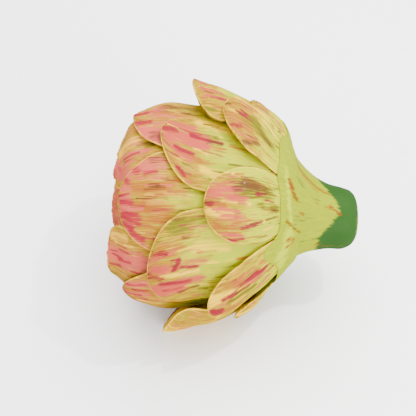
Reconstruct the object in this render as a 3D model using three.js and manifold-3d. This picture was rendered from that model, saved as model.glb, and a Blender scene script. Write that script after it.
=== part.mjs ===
import * as THREE from 'three';
import Module from 'manifold-3d';
import { mergeVertices } from 'three/addons/utils/BufferGeometryUtils.js';

// An artichoke lying on its side: a stem with a flared collar, six rings of overlapping bracts and a bud.
// Millimetres and degrees. X runs along the artichoke, stem at +X, top of the head at -X. Z is up.
// The origin is on the floor, in the flat foot under bract_1_under, FOOT along from the head's centre.
// Reach is the angle at the head's centre, from the stem end of the axis (0) to the top of the head (180).
// Turn is the angle about the axis from the facing direction, which lies FACE above the horizontal to -Y.
const FACE = 50;
const FOOT = 12;
const AXIS_HEIGHT = 49.8;
const BELLY = 50.2;
const STEM_SIDE = 52.0;
const TOP_SIDE = 36.5;
const STEM_SIDE_POWER = 3.0;
const TOP_SIDE_POWER = 3.6;

// Bracts are shells THICK in the middle and EDGE at the rim, and each ring lies PITCH inside the one before.
const PITCH = 2.6;
const THICK = 1.95;
const EDGE = 0.95;
const GAP = 0.35;
const STEPS_ALONG = 8;
const STEPS_ACROSS = 6;

// Rings from the stem inwards: where the bracts start, where the ring ends, and the run over which the next
// one comes up to the outline there.
const RINGS = [
  { base: 36, reach: 84, run: 20, sink: 0 },
  { base: 45, reach: 113, run: 17, sink: 0 },
  { base: 54, reach: 132, run: 9, sink: 0 },
  { base: 80, reach: 143, run: 9, sink: 0 },
  { base: 105, reach: 157, run: 9, sink: 0.5 },
  { base: 125, reach: 170, run: 7, sink: 0.5 },
];

// Fuller and flatter places of the head, shared by all rings.
const SWELLS = [
  { reach: 88, turn: 90, height: 3.6, along: 24, around: 24 },
  { reach: 90, turn: -84, height: 1.8, along: 22, around: 22 },
  { reach: 43, turn: -99, height: -7.3, along: 13, around: 32 },
];

const PLAIN = {
  widest: 0.5, root: 0.6, blunt: 2.2, round: 2,
  lift: 0, ease: 1.6, settle: 0, lean: 0, crown: 1.5, skew: 0, hook: 0,
};

// One entry a bract: ring, turn and reach of its tip, half width in degrees, then what differs from plain.
const BRACTS = {
  bract_1_front: { ring: 1, turn: 0.5, tip: 82, width: 20.5 },
  bract_1_upper: {
    ring: 1, turn: 52, tip: 72.8, width: 19, foot: 37,
    widest: 0.38, root: 0.75, blunt: 3, round: 1.8, lift: 7, ease: 1.15,
  },
  bract_1_small_upper: {
    ring: 1, turn: 84, tip: 57.5, width: 21,
    root: 0.8, lift: 2.2, ease: 1.1, crown: 2.4,
  },
  bract_1_back: { ring: 1, turn: 136.5, tip: 80, width: 19 },
  bract_1_back_low: { ring: 1, turn: 175, tip: 83, width: 19 },
  bract_1_under: { ring: 1, turn: 213.5, tip: 82, width: 19, crown: 0.4 },
  bract_1_small_lower: { ring: 1, turn: -86, tip: 58, width: 17, root: 0.8, crown: 0.4, lift: 0.8 },
  bract_1_lower: {
    ring: 1, turn: -55, tip: 80.3, width: 17, foot: -33,
    from: 57, lift: 5.8, blunt: 2.5, crown: 0.7,
  },
  bract_2_upper_front: { ring: 2, turn: 34.5, tip: 103.8, width: 24.5, foot: 26.5, blunt: 2.6, hook: 7 },
  bract_2_spread_upper: {
    ring: 2, turn: 90, tip: 87.5, width: 32, blunt: 3.2, round: 1.7,
    lift: 10.1, ease: 0.6, from: 50.5, lean: 0.3,
  },
  bract_2_back: { ring: 2, turn: 143, tip: 106, width: 26 },
  bract_2_under: { ring: 2, turn: 200, tip: 108, width: 28, crown: 0.4 },
  bract_2_spread_lower: {
    ring: 2, turn: -100.5, tip: 103.5, width: 25, blunt: 1.8, round: 1.6,
    lift: 7.8, ease: 2, settle: 1.6, from: 50, to: 81, lean: 0.4, crown: 2,
  },
  bract_2_lower_front: {
    ring: 2, turn: -33, tip: 110.6, width: 30, foot: -29,
    widest: 0.62, blunt: 2.4, hook: -6,
  },
  bract_3_front: { ring: 3, turn: 1.8, tip: 128.8, width: 30 },
  bract_3_upper: { ring: 3, turn: 64.5, tip: 121, width: 32.5, hook: 8 },
  bract_3_back: { ring: 3, turn: 126, tip: 127, width: 26.5 },
  bract_3_back_low: { ring: 3, turn: 180, tip: 127, width: 26.5 },
  bract_3_under: { ring: 3, turn: 234, tip: 127, width: 26 },
  bract_3_lower: { ring: 3, turn: -67, tip: 128.3, width: 31, hook: -5 },
  bract_4_upper_front: { ring: 4, turn: 42, tip: 136, width: 29, blunt: 10, round: 9, skew: -1.5 },
  bract_4_upper: { ring: 4, turn: 101, tip: 132, width: 28, blunt: 4 },
  bract_4_back: { ring: 4, turn: 155, tip: 138, width: 24.5, blunt: 4 },
  bract_4_back_low: { ring: 4, turn: 204.5, tip: 138, width: 24, blunt: 4 },
  bract_4_under: { ring: 4, turn: 261, tip: 138, width: 31, blunt: 4 },
  bract_4_lower_front: {
    ring: 4, turn: -40.5, tip: 136.2, width: 26, blunt: 10, round: 12,
    lift: 4.2, ease: 9, lean: -0.35, skew: 0.3,
  },
};

// The two innermost rings are even all the way round.
const EVEN_RINGS = [
  { ring: 5, count: 6, first: -2, tip: 154, width: 29, blunt: 3, crown: 0.5 },
  { ring: 6, count: 5, first: 25, tip: 169, width: 35, widest: 0.7, blunt: 3, crown: 0.5 },
];

// The stem from the collar to its rounded end: place along the axis, radius, and how far it has bent aside.
const STEM = [
  [49.3, 29.0, -0.6], [50.8, 25.2, -1.0], [52.9, 22.9, -1.7], [56.6, 19.9, -2.6], [61.0, 17.3, -3.5],
  [66.2, 15.6, -4.6], [72.0, 14.9, -5.5], [75.8, 13.6, -5.5], [78.1, 11.6, -5.4], [79.5, 8.6, -5.3],
  [80.1, 4.5, -5.2],
];
const STEM_TURNS = 40;
const NECK = 35.2;
const LIP = 1.1;
const LIP_GAP = 0.62;
const LIP_REACH = 44.5;
const LOBES = [
  { turn: -29, height: 9, spread: 9 },
  { turn: 19, height: 1.8, spread: 8 },
  { turn: 60, height: 1.5, spread: 9 },
  { turn: 103, height: 3, spread: 10 },
  { turn: 151, height: 3, spread: 10 },
  { turn: 202, height: 3, spread: 10 },
  { turn: 250, height: 2, spread: 9 },
];

const rad = (degrees) => degrees * Math.PI / 180;
const clamp = (value) => Math.min(1, Math.max(0, value));

function smooth(from, to, value) {
  const t = clamp((value - from) / (to - from));
  return t * t * (3 - 2 * t);
}

function turnGap(a, b) {
  return ((a - b + 180) % 360 + 360) % 360 - 180;
}

// Head outline at a reach: distance along the axis, radius, and the outward direction there.
function outline(reach) {
  const c = Math.cos(rad(reach));
  const s = Math.sin(rad(reach));
  const power = c > 0 ? STEM_SIDE_POWER : TOP_SIDE_POWER;
  const length = c > 0 ? STEM_SIDE : TOP_SIDE;
  const far = (Math.abs(c / length) ** power + Math.abs(s / BELLY) ** power) ** (-1 / power);
  const x = far * c;
  const r = far * s;
  const nx = Math.sign(c) * Math.abs(x / length) ** (power - 1) / length;
  const nr = (r / BELLY) ** (power - 1) / BELLY;
  const size = Math.hypot(nx, nr);
  return { x, r, nx: nx / size, nr: nr / size };
}

// How far a ring lies inside the head outline.
function ringDepth(ring, reach) {
  let total = 0;
  for (const { reach: end, run } of RINGS.slice(0, ring - 1)) {
    total += PITCH * (1 - smooth(end, end + run, reach));
  }
  const own = RINGS[Math.min(ring, RINGS.length) - 1];
  return total + own.sink;
}

function swell(reach, turn) {
  let total = 0;
  for (const s of SWELLS) {
    const along = (reach - s.reach) / s.along;
    const around = turnGap(turn, s.turn) / s.around;
    total += s.height * Math.exp(-along * along - around * around);
  }
  return total;
}

// A point about the axis: along, away from it, at a turn, with the axis itself moved aside by the bend.
function place(x, r, turn, bend = 0) {
  const outward = r * Math.cos(rad(turn));
  const aside = r * Math.sin(rad(turn)) + bend;
  const c = Math.cos(rad(FACE));
  const s = Math.sin(rad(FACE));
  return [x - FOOT, -outward * c + aside * s, AXIS_HEIGHT + outward * s + aside * c];
}

function offsetPoint(reach, turn, offset) {
  const o = outline(reach);
  return place(o.x + offset * o.nx, o.r + offset * o.nr, turn);
}

function halfWidth(bract, t) {
  if (t < bract.widest) {
    return bract.width * (bract.root + (1 - bract.root) * Math.sin(Math.PI / 2 * t / bract.widest));
  }
  const k = (t - bract.widest) / (1 - bract.widest);
  return bract.width * (1 - 0.995 * k ** bract.blunt) ** (1 / bract.round);
}

// A point of a bract: t runs from base to tip, v from one edge (-1) to the other (1), on either face.
function bractPoint(bract, t, v, inner) {
  const ring = RINGS[bract.ring - 1];
  const reach = ring.base + (bract.tip - ring.base) * t + bract.skew * v * t;
  const foot = bract.foot ?? bract.turn;
  const middle = foot + (bract.turn - foot) * smooth(0, 1, t) + bract.hook * t ** 10;
  const turn = middle + halfWidth(bract, t) * v;
  const before = RINGS[bract.ring - 2];
  const free = before ? smooth(before.reach - 4, before.reach + before.run, reach) : smooth(46, 64, reach);
  const from = bract.from ?? Math.max(ring.base, 46);
  const u = clamp((reach - from) / ((bract.to ?? bract.tip) - from));
  const full = halfWidth(bract, t) / bract.width;
  const spread = bract.lift * (1 + bract.lean * v * full) * u ** bract.ease * (1 + bract.settle * (1 - u));
  const thick = EDGE + (THICK - EDGE) * (1 - Math.abs(v) ** 2.5) * (1 - t ** 4);
  let offset = swell(reach, turn) - ringDepth(bract.ring, reach);
  offset += bract.crown * (1 - v * v) * free * Math.sqrt(full) + spread - (inner ? thick : 0);
  return offsetPoint(reach, turn, offset);
}

// Steps from base to tip, closer together towards the tip.
function stepAlong(bract, k) {
  if (k < 0.5) {
    return 2 * k * bract.widest;
  }
  return bract.widest + (1 - bract.widest) * Math.sin(Math.PI / 2 * (2 * k - 1));
}

function bractFaces(bract) {
  const points = [];
  for (const inner of [false, true]) {
    for (let i = 0; i <= STEPS_ALONG; i++) {
      for (let j = 0; j <= STEPS_ACROSS; j++) {
        points.push(bractPoint(bract, stepAlong(bract, i / STEPS_ALONG), 2 * j / STEPS_ACROSS - 1, inner));
      }
    }
  }
  const row = STEPS_ACROSS + 1;
  const layer = row * (STEPS_ALONG + 1);
  const at = (side, i, j) => side * layer + i * row + j;
  const faces = [];
  const quad = (a, b, c, d) => faces.push(a, b, c, a, c, d);
  for (let i = 0; i < STEPS_ALONG; i++) {
    for (let j = 0; j < STEPS_ACROSS; j++) {
      quad(at(0, i, j), at(0, i, j + 1), at(0, i + 1, j + 1), at(0, i + 1, j));
      quad(at(1, i, j), at(1, i + 1, j), at(1, i + 1, j + 1), at(1, i, j + 1));
    }
    quad(at(0, i, 0), at(0, i + 1, 0), at(1, i + 1, 0), at(1, i, 0));
    const j = STEPS_ACROSS;
    quad(at(0, i, j), at(1, i, j), at(1, i + 1, j), at(0, i + 1, j));
  }
  for (let j = 0; j < STEPS_ACROSS; j++) {
    quad(at(0, 0, j), at(1, 0, j), at(1, 0, j + 1), at(0, 0, j + 1));
    quad(at(0, STEPS_ALONG, j), at(0, STEPS_ALONG, j + 1), at(1, STEPS_ALONG, j + 1), at(1, STEPS_ALONG, j));
  }
  return { points, faces };
}

// A solid swept about the axis from profiles that start and end on it.
// profile(turn) gives its stations as [x, r, bend].
function turnedFaces(profile, turns) {
  const columns = [];
  for (let k = 0; k < turns; k++) {
    columns.push({ turn: 360 * k / turns, stations: profile(360 * k / turns) });
  }
  const last = columns[0].stations.length - 1;
  const points = [];
  const [x0, , bend0] = columns[0].stations[0];
  const [x1, , bend1] = columns[0].stations[last];
  points.push(place(x0, 0, 0, bend0), place(x1, 0, 0, bend1));
  for (const { turn, stations } of columns) {
    for (let i = 1; i < last; i++) {
      points.push(place(stations[i][0], stations[i][1], turn, stations[i][2]));
    }
  }
  const at = (k, i) => 2 + (k % turns) * (last - 1) + i - 1;
  const faces = [];
  for (let k = 0; k < turns; k++) {
    faces.push(0, at(k, 1), at(k + 1, 1));
    faces.push(1, at(k + 1, last - 1), at(k, last - 1));
    for (let i = 1; i < last - 1; i++) {
      faces.push(at(k, i), at(k + 1, i + 1), at(k + 1, i), at(k, i), at(k, i + 1), at(k + 1, i + 1));
    }
  }
  return { points, faces };
}

// The heart lies GAP under the lowest ring that has started.
function heartOffset(reach) {
  let depth = THICK + GAP + 0.12;
  for (let i = 1; i < RINGS.length; i++) {
    const before = RINGS[i - 1];
    const here = smooth(RINGS[i].base - 5, RINGS[i].base - 1, reach);
    depth += here * (PITCH * (1 - smooth(before.reach, before.reach + before.run, reach)));
    depth += here * (RINGS[i].sink - RINGS[i - 1].sink);
  }
  return -depth;
}

function lipReach(turn) {
  let reach = LIP_REACH;
  for (const lobe of LOBES) {
    reach += lobe.height * Math.exp(-((turnGap(turn, lobe.turn) / lobe.spread) ** 2));
  }
  return reach;
}

const HEART_TOP = 127;
const HEART_STEPS = [127, 124.5, 120.5, 112, 104.5, 100.5, 90, 79.5, 75.5, 66, 53.5, 49.5, 44.5, 40.5, NECK];

function stemProfile(turn) {
  const stations = [];
  const offset = (reach, depth) => {
    const o = outline(reach);
    stations.push([o.x + depth * o.nx, o.r + depth * o.nr, 0]);
  };
  const top = outline(HEART_TOP);
  const topX = top.x + heartOffset(HEART_TOP) * top.nx;
  const topR = top.r + heartOffset(HEART_TOP) * top.nr;
  stations.push([topX - 0.6, 0, 0], [topX - 0.3, topR * 0.55, 0]);
  for (const reach of HEART_STEPS) {
    offset(reach, heartOffset(reach) + Math.min(0, swell(reach, turn)));
  }
  const lip = lipReach(turn);
  const over = (reach, depth) => offset(reach, depth + swell(reach, turn));
  over(NECK, LIP_GAP);
  over(NECK + (lip - NECK) * 0.5, LIP_GAP);
  over(lip, LIP_GAP);
  over(lip + 0.6, LIP_GAP + LIP * 0.5);
  over(lip - 0.4, LIP_GAP + LIP);
  over(NECK + (lip - NECK) * 0.5, LIP_GAP + LIP);
  over(NECK, LIP_GAP + LIP - 0.2);
  const flatter = Math.min(0, swell(36, turn));
  STEM.forEach(([x, r, bend], i) => {
    const share = Math.max(0, 0.95 - 0.25 * i);
    stations.push([x + 0.1 * flatter * share, r + flatter * share, bend]);
  });
  stations.push([80.2, 0, -5.2]);
  return stations;
}

// The closed bud inside the sixth ring, resting over the top of the heart.
const BUD_STEPS = [176, 172, 166, 159, 151, 143, 134];
const BUD_TURNS = 20;

function budProfile() {
  const stations = [];
  const bottom = outline(HEART_TOP);
  const heartX = bottom.x + heartOffset(HEART_TOP) * bottom.nx;
  const centre = outline(180);
  stations.push([centre.x + 1.6, 0, 0]);
  for (const reach of BUD_STEPS) {
    const o = outline(reach);
    const depth = ringDepth(7, reach) + 0.6 + (reach < 160 ? GAP - 0.2 : 0);
    stations.push([o.x - depth * o.nx, o.r - depth * o.nr, 0]);
  }
  const rim = stations[stations.length - 1];
  stations.push([heartX - 1.2, rim[1] - 0.8, 0], [heartX - 1.2, 0, 0]);
  return stations;
}

const wasm = await Module();
wasm.setup();

function solid({ points, faces }) {
  const vertProperties = new Float32Array(points.flat());
  return new wasm.Manifold(new wasm.Mesh({ numProp: 3, vertProperties, triVerts: new Uint32Array(faces) }));
}

// Everything stands on the floor at Z = 0, so a solid that would dip below it is cut flat there.
const ground = new THREE.BoxGeometry(400, 400, 40);
ground.translate(0, 0, -20);
ground.deleteAttribute('normal');
ground.deleteAttribute('uv');
const groundMesh = mergeVertices(ground);
const below = new wasm.Manifold(new wasm.Mesh({
  numProp: 3,
  vertProperties: groundMesh.attributes.position.array,
  triVerts: new Uint32Array(groundMesh.index.array),
}));

const outerGlaze = new THREE.MeshStandardMaterial({ color: 0xcbb56a, roughness: 0.22, metalness: 0 });
const middleGlaze = new THREE.MeshStandardMaterial({ color: 0xd09a78, roughness: 0.22, metalness: 0 });
const innerGlaze = new THREE.MeshStandardMaterial({ color: 0xd8908a, roughness: 0.22, metalness: 0 });
const stemGlaze = new THREE.MeshStandardMaterial({ color: 0xb4bf5c, roughness: 0.25, metalness: 0 });

const artichoke = new THREE.Group();
artichoke.name = 'artichoke';

function addMesh(name, shape, material) {
  let positions = new Float32Array(shape.points.flat());
  let triangles = new Uint32Array(shape.faces);
  if (shape.points.some((point) => point[2] < 0)) {
    const cut = solid(shape).subtract(below).getMesh();
    positions = new Float32Array(cut.vertProperties);
    triangles = new Uint32Array(cut.triVerts);
  }
  const geometry = new THREE.BufferGeometry();
  geometry.setAttribute('position', new THREE.BufferAttribute(positions, 3));
  geometry.setIndex(new THREE.BufferAttribute(triangles, 1));
  geometry.computeVertexNormals();
  const mesh = new THREE.Mesh(geometry, material);
  mesh.name = name;
  artichoke.add(mesh);
}

addMesh('stem', turnedFaces(stemProfile, STEM_TURNS), stemGlaze);
addMesh('bud', turnedFaces(budProfile, BUD_TURNS), innerGlaze);
for (const [name, entry] of Object.entries(BRACTS)) {
  addMesh(name, bractFaces({ ...PLAIN, ...entry }), entry.ring < 3 ? outerGlaze : middleGlaze);
}
for (const { count, first, ...entry } of EVEN_RINGS) {
  for (let k = 0; k < count; k++) {
    const bract = { ...PLAIN, ...entry, turn: first + 360 * k / count };
    addMesh(`bract_${entry.ring}_${k + 1}`, bractFaces(bract), innerGlaze);
  }
}

export default artichoke;
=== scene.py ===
import logging
from dataclasses import dataclass
from enum import Enum

import bpy
import numpy as np
from mathutils import Matrix, Vector
from mathutils.kdtree import KDTree


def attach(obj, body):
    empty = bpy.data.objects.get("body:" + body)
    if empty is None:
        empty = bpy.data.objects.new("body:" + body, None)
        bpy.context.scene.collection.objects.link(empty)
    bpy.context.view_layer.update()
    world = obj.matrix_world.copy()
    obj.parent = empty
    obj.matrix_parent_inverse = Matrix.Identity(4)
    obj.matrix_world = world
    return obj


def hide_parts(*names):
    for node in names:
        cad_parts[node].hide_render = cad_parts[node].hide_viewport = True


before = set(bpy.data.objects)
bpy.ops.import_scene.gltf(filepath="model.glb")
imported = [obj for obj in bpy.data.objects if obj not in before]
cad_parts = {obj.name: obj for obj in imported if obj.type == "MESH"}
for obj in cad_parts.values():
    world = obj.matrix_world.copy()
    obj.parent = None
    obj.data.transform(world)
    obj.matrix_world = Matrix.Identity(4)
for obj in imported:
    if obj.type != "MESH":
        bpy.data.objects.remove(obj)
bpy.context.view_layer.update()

LOG = logging.getLogger("artichoke")
MM = 0.001
# Degrees above the floor from which the camera looks down, square to the side at turn 0
FACE = 50.0
# How far in mm the head's centre lies from the resting point, on the side of the head's top
FOOT = 12.0
# Reach over which the rings come out from under the collar
COLLAR_EASE = (43.0, 60.0)
# Reach at which bracts begin to stand off the head, and over which a first-ring bract becomes free
SHOULDER = 46.0
SHOULDER_RUN = 18.0


def smooth(start: float, end: float, value: np.ndarray) -> np.ndarray:
    """Ease from 0 to 1 between two values.

    Args:
        start: Where the ease begins.
        end: Where it ends.
        value: Where it is wanted.

    Returns:
        The eased share at each value.
    """
    t = np.clip((value - start) / (end - start), 0.0, 1.0)
    return t * t * (3.0 - 2.0 * t)


def bell(distance: np.ndarray) -> np.ndarray:
    """Round hump of height 1 that has faded at about twice its spread."""
    return np.exp(-distance * distance)


def turn_gap(a: np.ndarray, b: float) -> np.ndarray:
    """Signed difference of two turns, in degrees."""
    return (a - b + 180.0) % 360.0 - 180.0


def linear(code: str) -> tuple[float, float, float, float]:
    """Colour for a shader socket from a plain six-digit colour code.

    Args:
        code: Red, green and blue as hexadecimal digits.

    Returns:
        Linear red, green, blue and full alpha.
    """
    parts = [int(code[i:i + 2], 16) / 255.0 for i in (0, 2, 4)]
    bent = [p / 12.92 if p <= 0.04045 else ((p + 0.055) / 1.055) ** 2.4 for p in parts]
    return (bent[0], bent[1], bent[2], 1.0)


@dataclass(frozen=True)
class Ring:
    """One ring of bracts, in degrees of reach, with its sink in mm."""

    base: float
    reach: float
    run: float
    sink: float = 0.0


@dataclass(frozen=True)
class Swell:
    """A fuller or flatter place of the head, shared by all rings."""

    reach: float
    turn: float
    height: float
    along: float
    around: float


@dataclass(frozen=True)
class Head:
    """The round form that every bract lies on. Lengths in mm, angles in degrees."""

    axis_height: float = 49.8
    belly: float = 50.2
    stem_side: float = 52.0
    top_side: float = 36.5
    stem_power: float = 3.0
    top_power: float = 3.6
    pitch: float = 2.6
    thick: float = 1.95
    edge: float = 0.8
    gap: float = 0.35
    under_collar: float = 0.1
    rings: tuple[Ring, ...] = (
        Ring(36, 84, 20), Ring(45, 113, 17), Ring(54, 132, 9),
        Ring(80, 143, 9), Ring(105, 157, 9, 0.5), Ring(125, 170, 7, 0.5),
    )
    swells: tuple[Swell, ...] = (
        Swell(88, 90, 3.6, 24, 24), Swell(90, -84, 1.8, 22, 22), Swell(43, -99, -7.3, 13, 32),
        Swell(45, 86, 2.6, 12, 20),
    )

    def outline(self, reach: np.ndarray) -> tuple[np.ndarray, np.ndarray, np.ndarray, np.ndarray]:
        """Section of the head at a reach.

        Args:
            reach: Angle at the head's centre, from the stem side of the axis.

        Returns:
            Distance along the axis, radius, and the outward direction's two parts.
        """
        c = np.cos(np.radians(reach))
        s = np.sin(np.radians(reach))
        power = np.where(c > 0, self.stem_power, self.top_power)
        length = np.where(c > 0, self.stem_side, self.top_side)
        far = (np.abs(c / length) ** power + np.abs(s / self.belly) ** power) ** (-1.0 / power)
        x = far * c
        r = far * s
        nx = np.sign(c) * np.abs(x / length) ** (power - 1.0) / length
        nr = np.abs(r / self.belly) ** (power - 1.0) / self.belly
        size = np.hypot(nx, nr)
        return x, r, nx / size, nr / size

    def depth(self, ring: int, reach: np.ndarray) -> np.ndarray:
        """How far a ring lies inside the head's outline. All rings come up to it beside the collar.

        Args:
            ring: The ring's number from 1 beside the stem, or one past the last for the bud.
            reach: Where it is wanted.

        Returns:
            Depth in mm at each reach.
        """
        total = np.zeros_like(reach)
        for before in self.rings[:ring - 1]:
            total = total + self.pitch * (1.0 - smooth(before.reach, before.reach + before.run, reach))
        out = self.under_collar + (1.0 - self.under_collar) * smooth(*COLLAR_EASE, reach)
        return total * out + self.rings[min(ring, len(self.rings)) - 1].sink

    def swell(self, reach: np.ndarray, turn: np.ndarray) -> np.ndarray:
        """Extra height of the head's surface at a place.

        Args:
            reach: Angle from the stem side of the axis.
            turn: Turn about the axis from the facing direction.

        Returns:
            Height in mm, less than 0 where the head is flatter.
        """
        total = np.zeros_like(reach)
        for s in self.swells:
            along = (reach - s.reach) / s.along
            around = turn_gap(turn, s.turn) / s.around
            total = total + s.height * np.exp(-along * along - around * around)
        return total

    def place(
        self, x: np.ndarray, r: np.ndarray, turn: np.ndarray, bend: np.ndarray | float = 0.0
    ) -> np.ndarray:
        """Point about the axis, as an array with the three coordinates last.

        Args:
            x: Distance along the axis from the head's centre.
            r: Distance from the axis.
            turn: Turn about the axis from the facing direction.
            bend: How far the axis itself has moved aside.

        Returns:
            The points in mm in the part's own frame, none below the floor.
        """
        outward = r * np.cos(np.radians(turn))
        aside = r * np.sin(np.radians(turn)) + bend
        c = np.cos(np.radians(FACE))
        s = np.sin(np.radians(FACE))
        height = np.maximum(self.axis_height + outward * s + aside * c, 0.0)
        return np.stack([x - FOOT + 0.0 * outward, -outward * c + aside * s, height], -1)

    def raised(self, reach: np.ndarray, turn: np.ndarray, offset: np.ndarray) -> np.ndarray:
        """Point at an offset outward from the head's outline.

        Args:
            reach: Angle from the stem side of the axis.
            turn: Turn about the axis from the facing direction.
            offset: Distance outward in mm.

        Returns:
            The points in mm in the part's own frame.
        """
        x, r, nx, nr = self.outline(reach)
        return self.place(x + offset * nx, r + offset * nr, turn)


class Tint(Enum):
    """The glaze colours that are brushed over the ground, by the paint layer and channel that holds them."""

    ROSE = ("brush_warm", 0)
    RED = ("brush_warm", 1)
    ORANGE = ("brush_warm", 2)
    OLIVE = ("brush_warm", 3)
    CREAM = ("brush_cool", 0)
    LEAF = ("brush_cool", 1)
    BROWN = ("brush_cool", 3)


ROSE, RED, ORANGE, OLIVE, CREAM, LEAF, BROWN = Tint
RIM_CHANNEL = 2
# Distance from the rim in mm that stands for a piece without one
NO_RIM = 20.0
LAYERS = ("brush_warm", "brush_cool")


@dataclass(frozen=True)
class Stroke:
    """A brushed mark from one place of a piece to another, with its half width in mm and its strength."""

    tint: Tint
    along: float
    across: float
    to_along: float
    to_across: float
    width: float
    strength: float = 1.0

    def cover(self, along: np.ndarray, across: np.ndarray, scale: tuple[float, float]) -> np.ndarray:
        """How much of this stroke lies at each place.

        Args:
            along: Places along the piece, in its own units.
            across: Places across it, in its own units.
            scale: Millimetres to one unit along and one across.

        Returns:
            Share of the tint, before the bristle marks break it up.
        """
        run = (self.to_along - self.along) * scale[0]
        side = (self.to_across - self.across) * scale[1]
        x = (along - self.along) * scale[0]
        y = (across - self.across) * scale[1]
        share = np.clip((x * run + y * side) / max(run * run + side * side, 1e-6), 0.0, 1.0)
        gone = np.hypot(x - share * run, y - share * side) / self.width
        return self.strength * np.exp(-gone ** 2.5)


class Canvas:
    """Paint layers of one piece, one value for each point and tint."""

    def __init__(self, along: np.ndarray, across: np.ndarray, scale: tuple[float, float]) -> None:
        """Start with bare ground.

        Args:
            along: Place of each point along the piece.
            across: Place of each point across it.
            scale: Millimetres to one unit along and one across.
        """
        self.along = along
        self.across = across
        self.scale = scale
        self.layers = {name: np.zeros((along.size, 4)) for name in LAYERS}

    def add(self, tint: Tint, amount: np.ndarray) -> None:
        """Lay more of a tint on, by an amount for each point."""
        name, channel = tint.value
        self.layers[name][:, channel] += amount

    def brush(self, strokes: tuple[Stroke, ...]) -> None:
        """Lay all strokes on, one after another."""
        for stroke in strokes:
            self.add(stroke.tint, stroke.cover(self.along, self.across, self.scale))

    def rim(self, distance: np.ndarray) -> None:
        """Keep each point's distance from the rim, in mm."""
        self.layers["brush_cool"][:, RIM_CHANNEL] = distance

    def store(self, mesh: bpy.types.Mesh) -> None:
        """Write the layers to the mesh as point colours."""
        for name, values in self.layers.items():
            layer = mesh.attributes.new(name, "FLOAT_COLOR", "POINT")
            layer.data.foreach_set("color", np.clip(values, 0.0, 50.0).astype(np.float32).ravel())


def make_piece(
    name: str, points: np.ndarray, faces: list[tuple[int, ...]], grain: np.ndarray, canvas: Canvas
) -> bpy.types.Object:
    """Turn points and faces into a smooth object with its grain map and paint.

    Args:
        name: The object's name.
        points: Points in mm.
        faces: Point numbers of each face.
        grain: Place across and along in mm for the bristle marks, one pair for each point.
        canvas: The paint layers.

    Returns:
        The new object, linked to the scene.
    """
    mesh = bpy.data.meshes.new(name)
    mesh.from_pydata((points * MM).tolist(), [], faces)
    mesh.polygons.foreach_set("use_smooth", np.ones(len(mesh.polygons), dtype=bool))
    corners = np.zeros(len(mesh.loops), dtype=np.int32)
    mesh.loops.foreach_get("vertex_index", corners)
    uv = mesh.uv_layers.new(name="grain")
    uv.data.foreach_set("uv", grain[corners].astype(np.float32).ravel())
    canvas.store(mesh)
    mesh.update()
    piece = bpy.data.objects.new(name, mesh)
    bpy.context.scene.collection.objects.link(piece)
    return piece


def swept_faces(rows: int, turns: int) -> list[tuple[int, ...]]:
    """Faces of a form that is swept about the axis and closed by a point at each end.

    Args:
        rows: Number of stations.
        turns: Points round each station.

    Returns:
        The point numbers of each face. The two end points follow the stations.
    """
    faces: list[tuple[int, ...]] = []
    for k in range(turns):
        n = (k + 1) % turns
        for a in range(0, (rows - 1) * turns, turns):
            b = a + turns
            faces.append((a + k, b + k, b + n, a + n))
        last = (rows - 1) * turns
        faces.append((rows * turns, k, n))
        faces.append((rows * turns + 1, last + n, last + k))
    return faces


@dataclass(frozen=True)
class Nudge:
    """Where a side of a bract runs out further than its plain outline, in degrees of turn."""

    side: int
    along: float
    by: float
    spread: float


@dataclass(frozen=True)
class Notch:
    """Where the tip is cut back, by degrees of reach."""

    across: float
    by: float
    spread: float


@dataclass(frozen=True)
class ChanceMarks:
    """Ranges of chance strokes: places along and across, lengths, half widths in mm and strengths."""

    along: tuple[float, float]
    across: tuple[float, float]
    length: tuple[float, float]
    width: tuple[float, float]
    strength: tuple[float, float]

    def stroke(self, random: np.random.Generator, tint: Tint, start: float) -> Stroke:
        """Draw one stroke that runs from a place straight towards the base.

        Args:
            random: The source of the draws.
            tint: The stroke's tint.
            start: Where it starts along the bract.

        Returns:
            The stroke.
        """
        side = random.uniform(*self.across)
        end = start - random.uniform(*self.length)
        width = random.uniform(*self.width)
        return Stroke(tint, start, side, end, side, width, random.uniform(*self.strength))


FLECKS = ChanceMarks((0.3, 1.0), (-0.9, 0.9), (0.05, 0.2), (0.3, 0.8), (0.4, 0.8))
BLUSHES = ChanceMarks((0.6, 1.0), (-0.85, 0.85), (0.08, 0.3), (0.8, 3.0), (0.4, 0.9))
# Flecks past this place have the tip's tints, the others the low ones
TIP_FROM = 0.65
TIP_TINTS = (ROSE, RED, ORANGE, CREAM, ROSE)
LOW_TINTS = (OLIVE, ORANGE, BROWN, CREAM)
BLUSH_TINTS = (ROSE, RED, ORANGE, OLIVE, ROSE)
BLUSH_COUNT = 7
# The tints of the painted shade that lies in the seams beside other bracts' rims, each with its strength
SEAM_SHADE_TINTS = ((OLIVE, 1.5), (BROWN, 0.8))
LEAF_WASH = 1.3
# Waves along a bract's side, and the height in degrees that all of them are scaled by
EDGE_WAVES = (2.3, 4.1, 7.3)
EDGE_WAVE_HEIGHT = 0.9
# Ribs from side to side and ripples from base to tip, with their heights in mm
RIBS = (3.0, 5.0, 9.0)
RIB_HEIGHT = 0.26
RIPPLES = (1.5, 2.7)
RIPPLE_HEIGHT = 0.12
# Powers of the place along that keep notches, hooks and the end of the plump body near the tip
NOTCH_POWER = 12.0
HOOK_POWER = 10.0
PLUMP_END = 16.0
# Powers of the places across and along with which a bract thins to its edge
THIN_ACROSS = 2.5
THIN_ALONG = 4.0
# Length of the bead at the tip, as a share of the bract
BEAD_RUN = 0.07
# Share of the relief that the inner face lacks, and the power with which it ends at the sides
RELIEF_LOST = 0.6
RELIEF_EDGE = 4.0
# Angles of the rim's rounding between the outer and the inner face, and how far it stands out
ARC_ANGLES = (45.0, 90.0, 135.0)
ARC_BULGE = 0.9
# Millimetres of bristle marks to one unit across and along, and the shift that sets bracts apart
GRAIN_ACROSS = 48.0
GRAIN_ALONG = 52.0
GRAIN_SHIFT = 61.0


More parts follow.
